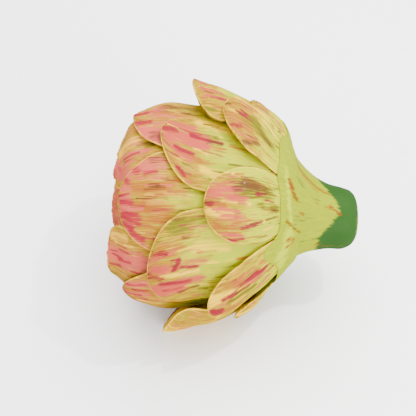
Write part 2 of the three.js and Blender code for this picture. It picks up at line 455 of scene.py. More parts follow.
@dataclass(frozen=True)
class Bract:
    """One thick, shell-shaped bract. Angles in degrees, heights in mm."""

    name: str
    ring: int
    turn: float
    tip: float
    width: float
    foot: float | None = None
    widest: float = 0.5
    root: float = 0.6
    blunt: float = 2.2
    round: float = 2.0
    lift: float = 0.0
    ease: float = 1.6
    settle: float = 0.0
    lean: float = 0.0
    crown: float = 1.5
    skew: float = 0.0
    hook: float = 0.0
    start: float | None = None
    stop: float | None = None
    nudges: tuple[Nudge, ...] = ()
    notches: tuple[Notch, ...] = ()
    strokes: tuple[Stroke, ...] = ()
    plump: float = 0.95
    plump_power: float = 14.0
    bead: float = 0.0
    blush: float = 0.35
    green: float = 0.9
    flecks: int = 34

    def half_width(self, t: np.ndarray) -> np.ndarray:
        """Half width of the bract, from base to tip.

        Args:
            t: Places from base to tip.

        Returns:
            Half width in degrees of turn at each place.
        """
        low = self.root + (1.0 - self.root) * np.sin(np.pi / 2.0 * np.minimum(t / self.widest, 1.0))
        k = np.clip((t - self.widest) / (1.0 - self.widest), 0.0, 1.0)
        high = (1.0 - 0.9995 * k ** self.blunt) ** (1.0 / self.round)
        return self.width * np.where(t < self.widest, low, high)

    def seed(self) -> np.random.Generator:
        """A random source that is this bract's own and the same on each run."""
        return np.random.default_rng(sum(ord(letter) * (k + 7) for k, letter in enumerate(self.name)))

    def edge_turn(self, t: np.ndarray, v: np.ndarray) -> np.ndarray:
        """Turn away from the middle line at a place, with the side's own nudges and a slight waviness.

        Args:
            t: Places from base to tip.
            v: Places from one side to the other.

        Returns:
            Degrees of turn from the middle line.
        """
        base = self.half_width(t)
        reach_out = np.zeros_like(t)
        for nudge in self.nudges:
            here = nudge.by * bell((t - nudge.along) / nudge.spread)
            reach_out = reach_out + np.where(v * nudge.side > 0, here, 0.0)
        random = self.seed()
        free = smooth(0.3, 0.6, t) * np.minimum(base / self.width * 2.0, 1.0)
        for side in (-1, 1):
            for waves in EDGE_WAVES:
                phase = random.uniform(0.0, 2.0 * np.pi)
                size = random.uniform(0.5, 1.0) * EDGE_WAVE_HEIGHT / waves
                wave = size * np.sin(2.0 * np.pi * waves * t + phase) * free
                reach_out = reach_out + np.where(v * side > 0, wave, 0.0)
        return base * v + reach_out * v * np.abs(v)

    def relief(self, t: np.ndarray, v: np.ndarray) -> np.ndarray:
        """Low ribs and hand-made unevenness of the outer face.

        Args:
            t: Places from base to tip.
            v: Places from one side to the other.

        Returns:
            Height in mm at each place.
        """
        random = self.seed()
        total = np.zeros_like(t)
        for ribs in RIBS:
            phase = random.uniform(0.0, 2.0 * np.pi)
            bend = random.uniform(-0.6, 0.6)
            wave = np.sin(np.pi * ribs * (v + bend * t * (1 - t)) + phase)
            total = total + RIB_HEIGHT / ribs ** 0.5 * wave
        for waves in RIPPLES:
            phase = random.uniform(0.0, 2.0 * np.pi)
            total = total + RIPPLE_HEIGHT * np.sin(2.0 * np.pi * waves * t + phase + 1.5 * v)
        return total * smooth(0.1, 0.4, t)

    def points(self, head: Head, t: np.ndarray, v: np.ndarray, share: float) -> np.ndarray:
        """Points of the bract between its outer and inner faces.

        Args:
            head: The form that it lies on.
            t: Places from base to tip.
            v: Places from one side to the other.
            share: 0 for the outer face, 1 for the inner one.

        Returns:
            The points in mm.
        """
        ring = head.rings[self.ring - 1]
        reach = ring.base + (self.tip - ring.base) * t + self.skew * v * t
        for notch in self.notches:
            reach = reach - notch.by * bell((v - notch.across) / notch.spread) * t ** NOTCH_POWER
        foot = self.turn if self.foot is None else self.foot
        turn = foot + (self.turn - foot) * smooth(0.0, 1.0, t) + self.hook * t ** HOOK_POWER
        turn = turn + self.edge_turn(t, v)
        if self.ring > 1:
            before = head.rings[self.ring - 2]
            free = smooth(before.reach - 4.0, before.reach + before.run, reach)
        else:
            free = smooth(SHOULDER, SHOULDER + SHOULDER_RUN, reach)
        start = max(ring.base, SHOULDER) if self.start is None else self.start
        stop = self.tip if self.stop is None else self.stop
        u = np.clip((reach - start) / (stop - start), 0.0, 1.0)
        full = self.half_width(t) / self.width
        spread = self.lift * (1.0 + self.lean * v * full) * u ** self.ease * (1.0 + self.settle * (1.0 - u))
        thinning = (1.0 - np.abs(v) ** THIN_ACROSS) * (1.0 - t ** THIN_ALONG)
        body = (1.0 - np.abs(v) ** self.plump_power) * (1.0 - t ** PLUMP_END)
        thick = head.edge + (head.thick - head.edge) * thinning + self.plump * spread * body
        thick = thick + self.bead * bell((1.0 - t) / BEAD_RUN)
        offset = head.swell(reach, turn) - head.depth(self.ring, reach) + spread - share * thick
        offset = offset + self.crown * (1.0 - v * v) * free * np.sqrt(full)
        kept = (1.0 - RELIEF_LOST * share) * (1.0 - np.abs(v) ** RELIEF_EDGE)
        offset = offset + self.relief(t, v) * kept
        return head.raised(reach, turn, offset)

    def grid(self) -> tuple[np.ndarray, np.ndarray]:
        """Grid over the bract, closer together towards the tip and the sides.

        Returns:
            Places along and across at each grid point.
        """
        steps_along, steps_across = (104, 80) if self.strokes else (44, 32)
        k = np.linspace(0.0, 1.0, steps_along + 1)
        eased = self.widest + (1.0 - self.widest) * np.sin(np.pi / 2.0 * np.clip(2.0 * k - 1.0, 0.0, 1.0))
        along = np.where(k < 0.5, 2.0 * k * self.widest, eased)
        even = np.linspace(-1.0, 1.0, steps_across + 1)
        across = 0.55 * even + 0.45 * np.sin(np.pi / 2.0 * even)
        return np.meshgrid(along, across, indexing="ij")

    def straight(self, t: np.ndarray, v: np.ndarray) -> np.ndarray:
        """Place across that follows the veins, which run straight on past the widest place."""
        return np.where(t < self.widest, v, v * self.half_width(t) / self.width)

    def edge(self, head: Head) -> np.ndarray:
        """Line along the lower side of the bract's rim.

        Args:
            head: The form that it lies on.

        Returns:
            Points in mm, from one foot round the tip to the other.
        """
        t, v = self.grid()
        outer = self.points(head, t, v, 0.0)
        inner = self.points(head, t, v, 1.0)
        under = 0.25 * outer + 0.75 * inner
        return np.concatenate([under[:, 0], under[-1], under[::-1, -1]])

    def build(self, head: Head, number: int, seams: "SeamShade") -> bpy.types.Object:
        """Make the bract as a closed shell with a rounded rim, and paint it, with painted shade beside the
        other bracts' rims.

        Args:
            head: The form that it lies on.
            number: The bract's number, which sets its bristle marks apart.
            seams: The rims of all bracts, beside which a dark line of shade is painted.

        Returns:
            The bract's object.
        """
        t, v = self.grid()
        outer = self.points(head, t, v, 0.0)
        inner = self.points(head, t, v, 1.0)
        rows, columns = t.shape
        chain = [(i, 0) for i in range(rows)]
        chain += [(rows - 1, j) for j in range(1, columns)]
        chain += [(i, columns - 1) for i in range(rows - 2, -1, -1)]
        ci = np.array([i for i, _ in chain])
        cj = np.array([j for _, j in chain])
        middle = (outer[ci, cj] + inner[ci, cj]) / 2.0
        half = (outer[ci, cj] - inner[ci, cj]) / 2.0
        size = np.linalg.norm(half, axis=1, keepdims=True)
        out = np.cross(np.gradient(middle, axis=0), half)
        out /= np.linalg.norm(out, axis=1, keepdims=True)
        inside = outer[np.clip(ci, 1, rows - 2), np.clip(cj, 1, columns - 2)]
        if np.sum((middle - inside) * out) < 0.0:
            out = -out
        arcs = []
        for angle in ARC_ANGLES:
            a = np.radians(angle)
            arcs.append(middle + half * np.cos(a) + out * size * np.sin(a) * ARC_BULGE)
        points = np.concatenate([outer.reshape(-1, 3), inner.reshape(-1, 3), *arcs])
        points[:, 2] = np.maximum(points[:, 2], 0.0)
        veins = self.straight(t, v)
        along = np.concatenate([t.ravel()] * 2 + [t[ci, cj]] * len(arcs))
        across = np.concatenate([veins.ravel()] * 2 + [veins[ci, cj]] * len(arcs))
        canvas = Canvas(along, across, self.scale(head))
        self.paint(canvas)
        # Painted shade: a dark olive and brown line beside the other bracts' rims, and over this rim's middle
        # and under side, which lie in the shadow line.
        near = seams.near(self.name, points)
        shaded_rim_from = 2 * rows * columns + len(chain)
        near[shaded_rim_from:] = 1.0
        for tint, strength in SEAM_SHADE_TINTS:
            canvas.add(tint, strength * near)
        gaps = [
            np.linalg.norm(face.reshape(-1, 1, 3) - middle[None], axis=2).min(1)
            for face in (outer, inner)
        ]
        canvas.rim(np.concatenate([*gaps, np.zeros(len(arcs) * len(chain))]))
        aside = across * np.radians(self.width) * GRAIN_ACROSS + GRAIN_SHIFT * number
        grain = np.stack([aside, along * GRAIN_ALONG], 1)
        faces = self.shell_faces(rows, columns, chain)
        return make_piece(f"painted_{self.name}", points, faces, grain, canvas)

    @staticmethod
    def shell_faces(rows: int, columns: int, chain: list[tuple[int, int]]) -> list[tuple[int, ...]]:
        """Faces of a closed shell: outer face, inner face, rounded rim and foot.

        Args:
            rows: Grid points from base to tip.
            columns: Grid points from side to side.
            chain: Grid places along the rim, from one foot round the tip to the other.

        Returns:
            The point numbers of each face. The points of the rim's arcs follow those of the two faces.
        """
        layer = rows * columns
        count = len(chain)

        def at(side: int, i: int, j: int) -> int:
            """Number of a grid point on the outer (0) or inner (1) face."""
            return side * layer + i * columns + j

        loops = [[at(0, i, j) for i, j in chain]]
        loops += [[2 * layer + k * count + c for c in range(count)] for k in range(len(ARC_ANGLES))]
        loops += [[at(1, i, j) for i, j in chain]]
        faces: list[tuple[int, ...]] = []
        for i in range(rows - 1):
            for j in range(columns - 1):
                faces.append((at(0, i, j), at(0, i, j + 1), at(0, i + 1, j + 1), at(0, i + 1, j)))
                faces.append((at(1, i, j), at(1, i + 1, j), at(1, i + 1, j + 1), at(1, i, j + 1)))
        for near, far in zip(loops, loops[1:]):
            for c in range(count - 1):
                faces.append((near[c], near[c + 1], far[c + 1], far[c]))
        for j in range(columns - 1):
            faces.append((at(0, 0, j), at(1, 0, j), at(1, 0, j + 1), at(0, 0, j + 1)))
        faces.append(tuple([loops[-1][0]] + [loop[0] for loop in loops[:-1]]))
        faces.append(tuple([loop[-1] for loop in reversed(loops)]))
        return faces

    def scale(self, head: Head) -> tuple[float, float]:
        """Millimetres to one unit along the bract and one across it."""
        span = self.tip - head.rings[self.ring - 1].base
        return float(np.radians(span)) * head.belly, float(np.radians(self.width)) * head.belly

    def paint(self, canvas: Canvas) -> None:
        """Brush on the green wash, this bract's own strokes and flecks, and blushes where it has no strokes.

        Args:
            canvas: The bract's paint layers.
        """
        t = canvas.along
        canvas.add(LEAF, LEAF_WASH * self.green * (1.0 - smooth(0.25, 0.85, t)))
        canvas.brush(self.strokes)
        random = self.seed()
        for _ in range(self.flecks):
            start = random.uniform(*FLECKS.along)
            tint = random.choice(TIP_TINTS if start > TIP_FROM else LOW_TINTS)
            canvas.brush((FLECKS.stroke(random, tint, start),))
        if not self.strokes:
            canvas.add(ROSE, self.blush * smooth(0.35, 1.0, t))
            for _ in range(BLUSH_COUNT):
                tint = random.choice(BLUSH_TINTS)
                start = random.uniform(*BLUSHES.along)
                canvas.brush((BLUSHES.stroke(random, tint, start),))


def strokes(*rows: tuple) -> tuple[Stroke, ...]:
    """Strokes from rows of tint, one end along and across, the other end, half width and strength."""
    return tuple(Stroke(*row) for row in rows)


BRACTS: tuple[Bract, ...] = (
    Bract("bract_1_front", 1, 0.5, 82, 20.5, strokes=strokes(
        (OLIVE, 0.60, 0.42, 0.36, 0.36, 4.4, 0.75), (BROWN, 0.62, 0.52, 0.40, 0.46, 4.2, 0.6),
        (BROWN, 0.58, 0.56, 0.46, 0.52, 1.5, 0.6), (RED, 0.46, 0.30, 0.39, 0.30, 1.5, 0.8),
        (ROSE, 0.92, 0.35, 0.72, 0.38, 3.4, 0.75), (ROSE, 0.76, 0.18, 0.60, 0.12, 1.7, 0.65),
        (RED, 0.985, 0.06, 0.93, 0.03, 1.3, 0.8), (BROWN, 0.99, 0.05, 0.95, 0.05, 0.9, 0.6),
        (ORANGE, 0.95, 0.0, 0.80, 0.0, 1.4, 0.9), (CREAM, 0.96, -0.14, 0.76, -0.2, 2.6, 0.75),
        (ROSE, 0.86, -0.12, 0.66, -0.15, 1.0, 0.6), (ROSE, 0.82, -0.30, 0.60, -0.30, 1.8, 0.6),
        (RED, 0.61, -0.57, 0.43, -0.46, 1.4, 0.75), (BROWN, 0.52, -0.46, 0.43, -0.44, 1.4, 0.5),
        (ORANGE, 0.88, -0.50, 0.70, -0.60, 3.0, 0.55), (RED, 0.76, -0.86, 0.60, -0.84, 0.8, 0.7),
        (ROSE, 0.80, -0.72, 0.62, -0.82, 1.6, 0.5), (BROWN, 0.40, -0.08, 0.22, -0.2, 1.2, 0.6),
        (OLIVE, 0.42, -0.05, 0.25, -0.10, 2.4, 0.5), (RED, 0.36, 0.14, 0.28, 0.10, 0.8, 0.6),
        (CREAM, 0.58, 0.08, 0.55, 0.04, 0.9, 0.8), (CREAM, 0.80, 0.12, 0.68, 0.08, 1.3, 0.5),
        (ORANGE, 0.70, -0.42, 0.55, -0.38, 1.2, 0.5), (LEAF, 0.75, 0.9, 0.5, 0.95, 2.0, 0.6),
    )),
    Bract("bract_1_upper", 1, 52, 72.8, 19, foot=37, widest=0.38, root=0.75, blunt=3.0, round=1.8, lift=5.8,
          ease=1.15, lean=0.4, green=0.6, nudges=(Nudge(1, 0.32, 5.0, 0.3),), strokes=strokes(
              (BROWN, 0.985, 0.2, 0.94, 0.2, 0.9, 0.9), (RED, 0.78, 0.17, 0.73, 0.13, 1.0, 0.6),
              (RED, 0.94, -0.50, 0.80, -0.42, 1.1, 0.7), (BROWN, 0.78, -0.86, 0.58, -0.60, 1.1, 0.8),
              (RED, 0.70, -0.60, 0.60, -0.50, 1.0, 0.5), (OLIVE, 0.66, -0.05, 0.40, -0.10, 4.0, 0.75),
              (BROWN, 0.54, -0.12, 0.42, -0.20, 1.6, 0.55), (OLIVE, 0.80, 0.0, 0.60, 0.1, 2.0, 0.5),
              (ORANGE, 0.92, -0.2, 0.70, -0.3, 3.0, 0.6), (RED, 0.88, 0.35, 0.60, 0.55, 0.8, 0.5),
              (CREAM, 0.85, 0.7, 0.3, 0.8, 1.8, 0.6), (CREAM, 0.92, 0.0, 0.84, 0.0, 1.6, 0.5),
          )),
    Bract("bract_1_small_upper", 1, 84, 59.0, 25, root=0.8, lift=2.0, ease=1.1, crown=1.0, green=1.1,
          strokes=strokes(
              (RED, 0.70, -0.82, 0.10, -0.86, 0.7, 0.7), (ROSE, 0.95, -0.5, 0.2, -0.70, 1.4, 0.5),
              (CREAM, 0.95, -0.95, 0.0, -0.97, 1.0, 0.7),
          )),
    Bract("bract_1_back", 1, 136.5, 80, 19),
    Bract("bract_1_back_low", 1, 175, 83, 19),
    Bract("bract_1_under", 1, 213.5, 82, 19, crown=0.4),
    Bract("bract_1_small_lower", 1, -88, 67, 19, root=0.8, crown=0.4, lift=3.7, ease=0.5, start=38.0,
          lean=-0.7, strokes=strokes(
              (CREAM, 0.95, 0.3, 0.2, 0.4, 3.0, 0.8), (ORANGE, 0.9, 0.0, 0.5, 0.1, 1.5, 0.5),
              (ROSE, 0.7, 0.6, 0.4, 0.7, 1.0, 0.4),
          )),
    Bract("bract_1_lower", 1, -55, 80.3, 17, foot=-33, start=57.0, lift=5.8, lean=-0.6, blunt=2.5, crown=0.9,
          green=0.5, strokes=strokes(
              (RED, 0.96, -0.2, 0.87, -0.40, 1.9, 1.0), (CREAM, 0.97, 0.25, 0.78, 0.2, 3.6, 0.7),
              (ROSE, 0.92, -0.05, 0.82, -0.1, 1.4, 0.5), (RED, 0.83, 0.10, 0.71, 0.05, 1.3, 0.8),
              (RED, 0.70, 0.28, 0.57, 0.22, 1.5, 0.7), (BROWN, 0.68, 0.02, 0.56, -0.02, 0.9, 0.8),
              (RED, 0.50, 0.22, 0.41, 0.15, 2.2, 0.8), (ROSE, 0.56, 0.12, 0.40, 0.05, 2.6, 0.6),
              (OLIVE, 0.77, -0.18, 0.50, -0.32, 1.5, 0.9), (BROWN, 0.78, -0.06, 0.75, -0.08, 0.9, 0.7),
              (ORANGE, 0.84, -0.5, 0.66, -0.7, 1.5, 0.8), (ROSE, 0.44, -0.6, 0.34, -0.5, 1.6, 0.7),
              (ORANGE, 0.42, 0.55, 0.38, 0.45, 1.5, 0.6), (RED, 0.31, -0.25, 0.26, -0.2, 1.3, 0.5),
              (ROSE, 0.70, 0.55, 0.50, 0.45, 1.5, 0.35), (ORANGE, 0.80, 0.5, 0.55, 0.5, 3.0, 0.45),
          )),
    Bract("bract_2_upper_front", 2, 34.5, 103.8, 24.5, foot=26.5, blunt=2.6, hook=7.0,
          notches=(Notch(0.12, 2.2, 0.16),), strokes=strokes(
        (ROSE, 0.97, 0.45, 0.74, 0.53, 2.4, 0.85), (RED, 0.99, 0.15, 0.88, 0.30, 1.7, 0.8),
        (ROSE, 0.94, 0.12, 0.64, 0.22, 3.6, 0.95), (RED, 0.74, 0.30, 0.48, 0.27, 1.2, 0.95),
        (BROWN, 0.58, 0.27, 0.48, 0.26, 0.9, 0.7), (OLIVE, 0.68, 0.43, 0.52, 0.42, 1.1, 0.6),
        (ORANGE, 0.40, 0.25, 0.27, 0.20, 1.4, 0.6), (ROSE, 0.80, 0.03, 0.60, 0.05, 1.0, 0.6),
        (RED, 0.87, -0.17, 0.73, -0.20, 1.4, 0.9), (ROSE, 0.95, -0.12, 0.76, -0.30, 2.4, 0.65),
        (RED, 0.86, -0.62, 0.80, -0.74, 1.1, 0.8), (ORANGE, 0.90, -0.5, 0.76, -0.78, 2.2, 0.6),
        # The two broad cream strokes towards the base are painted highlights.
        (OLIVE, 0.82, -0.48, 0.72, -0.52, 0.9, 0.5), (CREAM, 0.64, -0.50, 0.54, -0.55, 2.4, 0.7),
        (CREAM, 0.64, 0.80, 0.40, 0.72, 3.8, 0.7), (RED, 0.64, -0.03, 0.48, -0.08, 0.7, 0.6),
        (ORANGE, 0.62, 0.10, 0.46, 0.08, 1.6, 0.5), (RED, 0.84, 0.38, 0.66, 0.40, 0.9, 0.6),
        (CREAM, 0.72, -0.06, 0.60, -0.10, 0.7, 0.6), (ORANGE, 0.78, -0.36, 0.6, -0.3, 1.6, 0.5),
    )),
    Bract("bract_2_spread_upper", 2, 90, 87.5, 32, blunt=3.8, round=2.0, lift=9.6, ease=0.6, start=50.5,
          lean=0.42, bead=1.6, green=0.8, nudges=(Nudge(-1, 0.72, 9.0, 0.3),), strokes=strokes(
              (ROSE, 0.99, -0.05, 0.86, -0.20, 1.6, 0.7), (ROSE, 0.90, -0.38, 0.68, -0.42, 1.5, 0.8),
              (ROSE, 0.84, -0.58, 0.64, -0.60, 1.2, 0.7), (LEAF, 0.66, -0.3, 0.40, -0.4, 3.0, 0.8),
              (RED, 0.86, -0.48, 0.74, -0.50, 0.8, 0.5), (CREAM, 0.55, -0.05, 0.25, -0.1, 2.2, 0.6),
              (OLIVE, 0.96, -0.8, 0.75, -0.85, 1.2, 0.6),
          )),
    Bract("bract_2_back", 2, 143, 106, 26),
    Bract("bract_2_under", 2, 200, 108, 28, crown=0.4),
    Bract("bract_2_spread_lower", 2, -100.5, 103.5, 25, blunt=2.6, round=1.9, lift=9.0, ease=2.0, settle=1.6,
          start=50.0, stop=81.0, lean=-0.5, crown=2.0, plump=0.9, plump_power=2.5, green=0.3,
          nudges=(Nudge(1, 0.55, 9.0, 0.45), Nudge(1, 0.90, 14.0, 0.2)), strokes=strokes(
              (ROSE, 0.99, -0.2, 0.86, -0.40, 2.2, 0.9), (RED, 0.98, -0.3, 0.90, -0.4, 1.2, 0.6),
              (ORANGE, 0.93, 0.2, 0.84, 0.15, 1.5, 0.7), (BROWN, 0.78, 0.1, 0.66, 0.1, 1.3, 0.7),
              (ROSE, 0.86, 0.1, 0.68, 0.0, 2.0, 0.5), (ROSE, 0.85, -0.3, 0.66, -0.4, 1.5, 0.6),
              # The broad cream stroke is painted light: it makes the face, which lies under the head's
              # overhang, as pale as a lit face.
              (CREAM, 0.95, 0.0, 0.55, 0.1, 9.0, 1.1), (OLIVE, 0.72, -0.15, 0.58, -0.1, 1.6, 0.5),
              (ROSE, 0.90, 0.5, 0.75, 0.5, 1.5, 0.3),
          )),
    Bract("bract_2_lower_front", 2, -33, 110.6, 30, foot=-29, widest=0.62, blunt=2.4, hook=-6.0,
          notches=(Notch(-0.1, 1.6, 0.12),), strokes=strokes(
        (OLIVE, 0.80, 0.85, 0.60, 0.80, 3.4, 0.6), (BROWN, 0.80, 0.88, 0.72, 0.86, 0.7, 0.6),
        (OLIVE, 0.82, 0.70, 0.68, 0.62, 2.8, 0.5), (BROWN, 0.73, 0.54, 0.68, 0.52, 0.6, 0.6),
        (RED, 0.95, 0.38, 0.86, 0.33, 1.4, 0.7), (ROSE, 0.97, 0.28, 0.80, 0.33, 2.0, 0.6),
        (RED, 0.81, 0.18, 0.76, 0.17, 0.7, 0.8), (RED, 0.755, 0.14, 0.80, -0.01, 1.2, 1.0),
        (BROWN, 0.82, 0.10, 0.79, 0.06, 0.8, 0.5), (RED, 0.74, 0.0, 0.62, -0.08, 1.1, 0.9),
        (ROSE, 0.90, 0.06, 0.58, 0.02, 2.6, 0.5), (CREAM, 0.93, -0.09, 0.62, -0.18, 1.5, 0.9),
        (RED, 0.99, -0.02, 0.90, -0.14, 1.7, 0.75), (ROSE, 0.97, 0.10, 0.88, 0.02, 2.4, 0.6),
        (RED, 0.90, -0.27, 0.68, -0.37, 1.3, 0.75), (ROSE, 0.95, -0.32, 0.60, -0.37, 2.6, 0.85),
        (ROSE, 0.93, -0.50, 0.76, -0.52, 3.2, 0.95), (RED, 0.88, -0.46, 0.74, -0.48, 1.0, 0.5),
        (BROWN, 0.76, -0.62, 0.62, -0.57, 0.8, 0.85), (RED, 0.76, -0.60, 0.62, -0.56, 1.4, 0.6),
        # The broad cream stroke across the middle is a painted highlight.
        (LEAF, 0.74, -0.46, 0.65, -0.50, 0.8, 0.9), (CREAM, 0.60, 0.30, 0.42, 0.30, 3.8, 0.55),
        (LEAF, 0.62, 0.05, 0.25, 0.05, 9.0, 0.7), (ORANGE, 0.70, 0.12, 0.52, 0.10, 2.0, 0.4),
        (ROSE, 0.70, 0.30, 0.60, 0.28, 1.0, 0.35), (ORANGE, 0.90, 0.45, 0.74, 0.42, 2.0, 0.4),
    )),
    Bract("bract_3_front", 3, 1.8, 128.8, 30, green=0.7, strokes=strokes(
        (RED, 0.91, 0.76, 0.84, 0.62, 2.4, 0.7), (RED, 0.95, 0.54, 0.90, 0.40, 1.6, 0.7),
        (RED, 0.97, 0.16, 0.90, 0.18, 0.9, 0.7), (RED, 0.95, 0.03, 0.88, 0.02, 1.5, 0.85),
        (RED, 0.88, -0.05, 0.78, -0.05, 0.8, 0.5), (RED, 0.93, -0.24, 0.84, -0.32, 2.6, 0.9),
        (RED, 0.94, -0.42, 0.88, -0.46, 1.5, 0.8), (RED, 0.88, -0.55, 0.80, -0.70, 2.0, 0.8),
        (ROSE, 0.85, -0.75, 0.78, -0.90, 2.4, 0.8), (ROSE, 0.92, 0.65, 0.93, 0.0, 3.2, 0.65),
        (ROSE, 0.93, 0.0, 0.90, -0.60, 3.4, 0.65), (ROSE, 0.86, 0.70, 0.66, 0.75, 3.4, 0.65),
        (BROWN, 0.72, 0.80, 0.58, 0.92, 3.0, 0.4), (RED, 0.78, 0.55, 0.70, 0.57, 1.3, 0.7),
        (ORANGE, 0.86, 0.30, 0.52, 0.25, 3.4, 0.6), (BROWN, 0.84, 0.10, 0.62, 0.08, 0.7, 0.6),
        (BROWN, 0.78, 0.25, 0.64, 0.28, 0.9, 0.5), (RED, 0.80, 0.06, 0.70, 0.09, 0.7, 0.6),
        (ORANGE, 0.85, -0.10, 0.60, -0.10, 2.6, 0.7), (ORANGE, 0.82, -0.35, 0.62, -0.30, 2.6, 0.5),
        (BROWN, 0.75, 0.34, 0.69, 0.32, 1.2, 0.4), (CREAM, 0.90, -0.12, 0.80, -0.12, 0.8, 0.6),
        (RED, 0.62, 0.20, 0.50, 0.15, 0.8, 0.4), (ORANGE, 0.62, 0.45, 0.50, 0.42, 2.0, 0.6),
        (RED, 0.72, -0.14, 0.62, -0.12, 0.8, 0.5), (BROWN, 0.66, 0.44, 0.58, 0.42, 0.8, 0.5),
        (ROSE, 0.82, 0.48, 0.66, 0.48, 1.6, 0.5), (RED, 0.84, -0.40, 0.74, -0.42, 0.7, 0.5),
    )),
    Bract("bract_3_upper", 3, 64.5, 121, 32.5, hook=8.0, green=0.5, nudges=(Nudge(-1, 0.95, 4.0, 0.12),),
          strokes=strokes(
              (RED, 1.0, 0.02, 0.89, 0.10, 2.2, 1.0), (ROSE, 0.90, 0.10, 0.76, 0.12, 2.6, 0.8),
              (RED, 0.97, -0.28, 0.85, -0.30, 2.1, 0.9), (ROSE, 0.94, -0.50, 0.74, -0.65, 5.0, 0.9),
              # The broad brown stroke on the side towards bract_2_upper_front is painted shade beside that
              # bract's edge.
              (ROSE, 0.88, -0.78, 0.72, -0.85, 3.0, 0.8), (BROWN, 0.80, -0.66, 0.68, -0.80, 3.4, 0.55),
              (BROWN, 0.74, 0.22, 0.48, 0.22, 3.0, 0.55), (ROSE, 0.84, -0.10, 0.62, -0.15, 2.2, 0.5),
              (ORANGE, 0.80, 0.0, 0.55, -0.02, 3.0, 0.5), (BROWN, 0.82, 0.04, 0.66, 0.04, 0.7, 0.5),
              (CREAM, 0.52, -0.20, 0.30, -0.30, 6.0, 0.6), (RED, 0.82, -0.22, 0.70, -0.22, 0.8, 0.4),
              (ROSE, 0.60, -0.30, 0.44, -0.40, 3.0, 0.4),
          )),
    Bract("bract_3_back", 3, 126, 127, 26.5),
    Bract("bract_3_back_low", 3, 180, 127, 26.5),
    Bract("bract_3_under", 3, 234, 127, 26),
    Bract("bract_3_lower", 3, -67, 128.3, 31, hook=-5.0, green=0.8, strokes=strokes(
        (RED, 0.97, 0.38, 0.80, 0.52, 1.3, 0.7), (RED, 0.98, 0.02, 0.84, 0.12, 1.2, 0.8),
        (RED, 0.96, -0.10, 0.80, -0.06, 1.1, 0.8), (ORANGE, 0.90, 0.20, 0.74, 0.30, 2.2, 0.7),
        (CREAM, 0.86, -0.22, 0.70, -0.12, 1.2, 0.8), (BROWN, 0.78, 0.45, 0.72, 0.40, 1.4, 0.4),
        (ROSE, 0.95, 0.40, 0.76, 0.60, 3.4, 0.7), (ROSE, 0.96, 0.10, 0.80, 0.20, 3.0, 0.6),
        (RED, 0.90, 0.28, 0.78, 0.36, 0.9, 0.7), (RED, 0.88, 0.0, 0.70, 0.0, 0.8, 0.5),
        (ROSE, 0.72, 0.10, 0.60, 0.10, 1.4, 0.35),
    )),
    Bract("bract_4_upper_front", 4, 42, 136, 29, blunt=10.0, round=9.0, skew=-1.5, green=0.3, strokes=strokes(
        (CREAM, 0.98, 0.10, 0.66, 0.12, 5.0, 0.7), (ROSE, 0.97, -0.20, 0.56, -0.22, 1.5, 0.9),
        (RED, 0.86, -0.30, 0.68, -0.25, 1.0, 0.8), (ROSE, 0.98, -0.30, 0.93, -0.60, 2.6, 0.9),
        (ROSE, 0.92, -0.48, 0.78, -0.42, 2.2, 0.8), (OLIVE, 0.70, 0.0, 0.52, -0.08, 2.0, 0.6),
        (ROSE, 0.80, 0.05, 0.66, 0.05, 1.2, 0.5), (ORANGE, 0.99, 0.4, 0.99, -0.8, 0.7, 0.8),
        (ROSE, 0.90, -0.7, 0.75, -0.7, 3.0, 0.7), (RED, 0.96, -0.38, 0.92, -0.5, 1.0, 0.5),
    )),
    Bract("bract_4_upper", 4, 101, 132, 28, blunt=4.0),
    Bract("bract_4_back", 4, 155, 138, 24.5, blunt=4.0),
    Bract("bract_4_back_low", 4, 204.5, 138, 24, blunt=4.0),
    Bract("bract_4_under", 4, 261, 138, 31, blunt=4.0),
    Bract("bract_4_lower_front", 4, -40.5, 136.2, 26, blunt=10.0, round=12.0, lift=4.2, ease=9.0, lean=-0.35,
          skew=0.3, green=0.3, plump=0.0, strokes=strokes(
              (CREAM, 0.97, 0.70, 0.85, 0.75, 3.0, 0.8), (ROSE, 0.95, 0.1, 0.66, 0.1, 7.0, 0.95),
              (RED, 0.90, 0.50, 0.82, 0.50, 1.0, 0.6), (RED, 0.90, 0.33, 0.80, 0.35, 1.0, 0.6),
              (RED, 0.95, 0.12, 0.88, 0.10, 1.0, 0.7), (RED, 0.90, 0.0, 0.78, 0.08, 1.2, 0.8),
              (RED, 0.98, -0.32, 0.90, -0.22, 1.3, 0.8), (OLIVE, 0.97, -0.75, 0.84, -0.80, 2.0, 0.7),
              (OLIVE, 0.72, -0.05, 0.62, -0.10, 3.0, 0.6), (RED, 0.77, -0.20, 0.72, -0.20, 1.2, 0.6),
              (ORANGE, 0.995, 0.8, 0.995, -0.8, 0.6, 0.9), (RED, 0.97, 0.2, 0.93, 0.25, 0.8, 0.5),
          )),
)
# Number, count, first turn, tip, half width and widest place of each even ring
EVEN_RINGS = ((5, 6, -2.0, 154.0, 29.0, 0.5), (6, 5, 25.0, 169.0, 35.0, 0.7))


def even_bracts() -> tuple[Bract, ...]:
    """Make the bracts of the two innermost rings, which are alike all the way round.

    Returns:
        The bracts, ring by ring.
    """
    made = []
    for ring, count, first, tip, width, widest in EVEN_RINGS:
        for k in range(count):
            made.append(Bract(
                f"bract_{ring}_{k + 1}", ring, first + 360.0 * k / count, tip, width, widest=widest,
                blunt=3.0, crown=0.5, blush=0.6,
            ))
    return tuple(made)


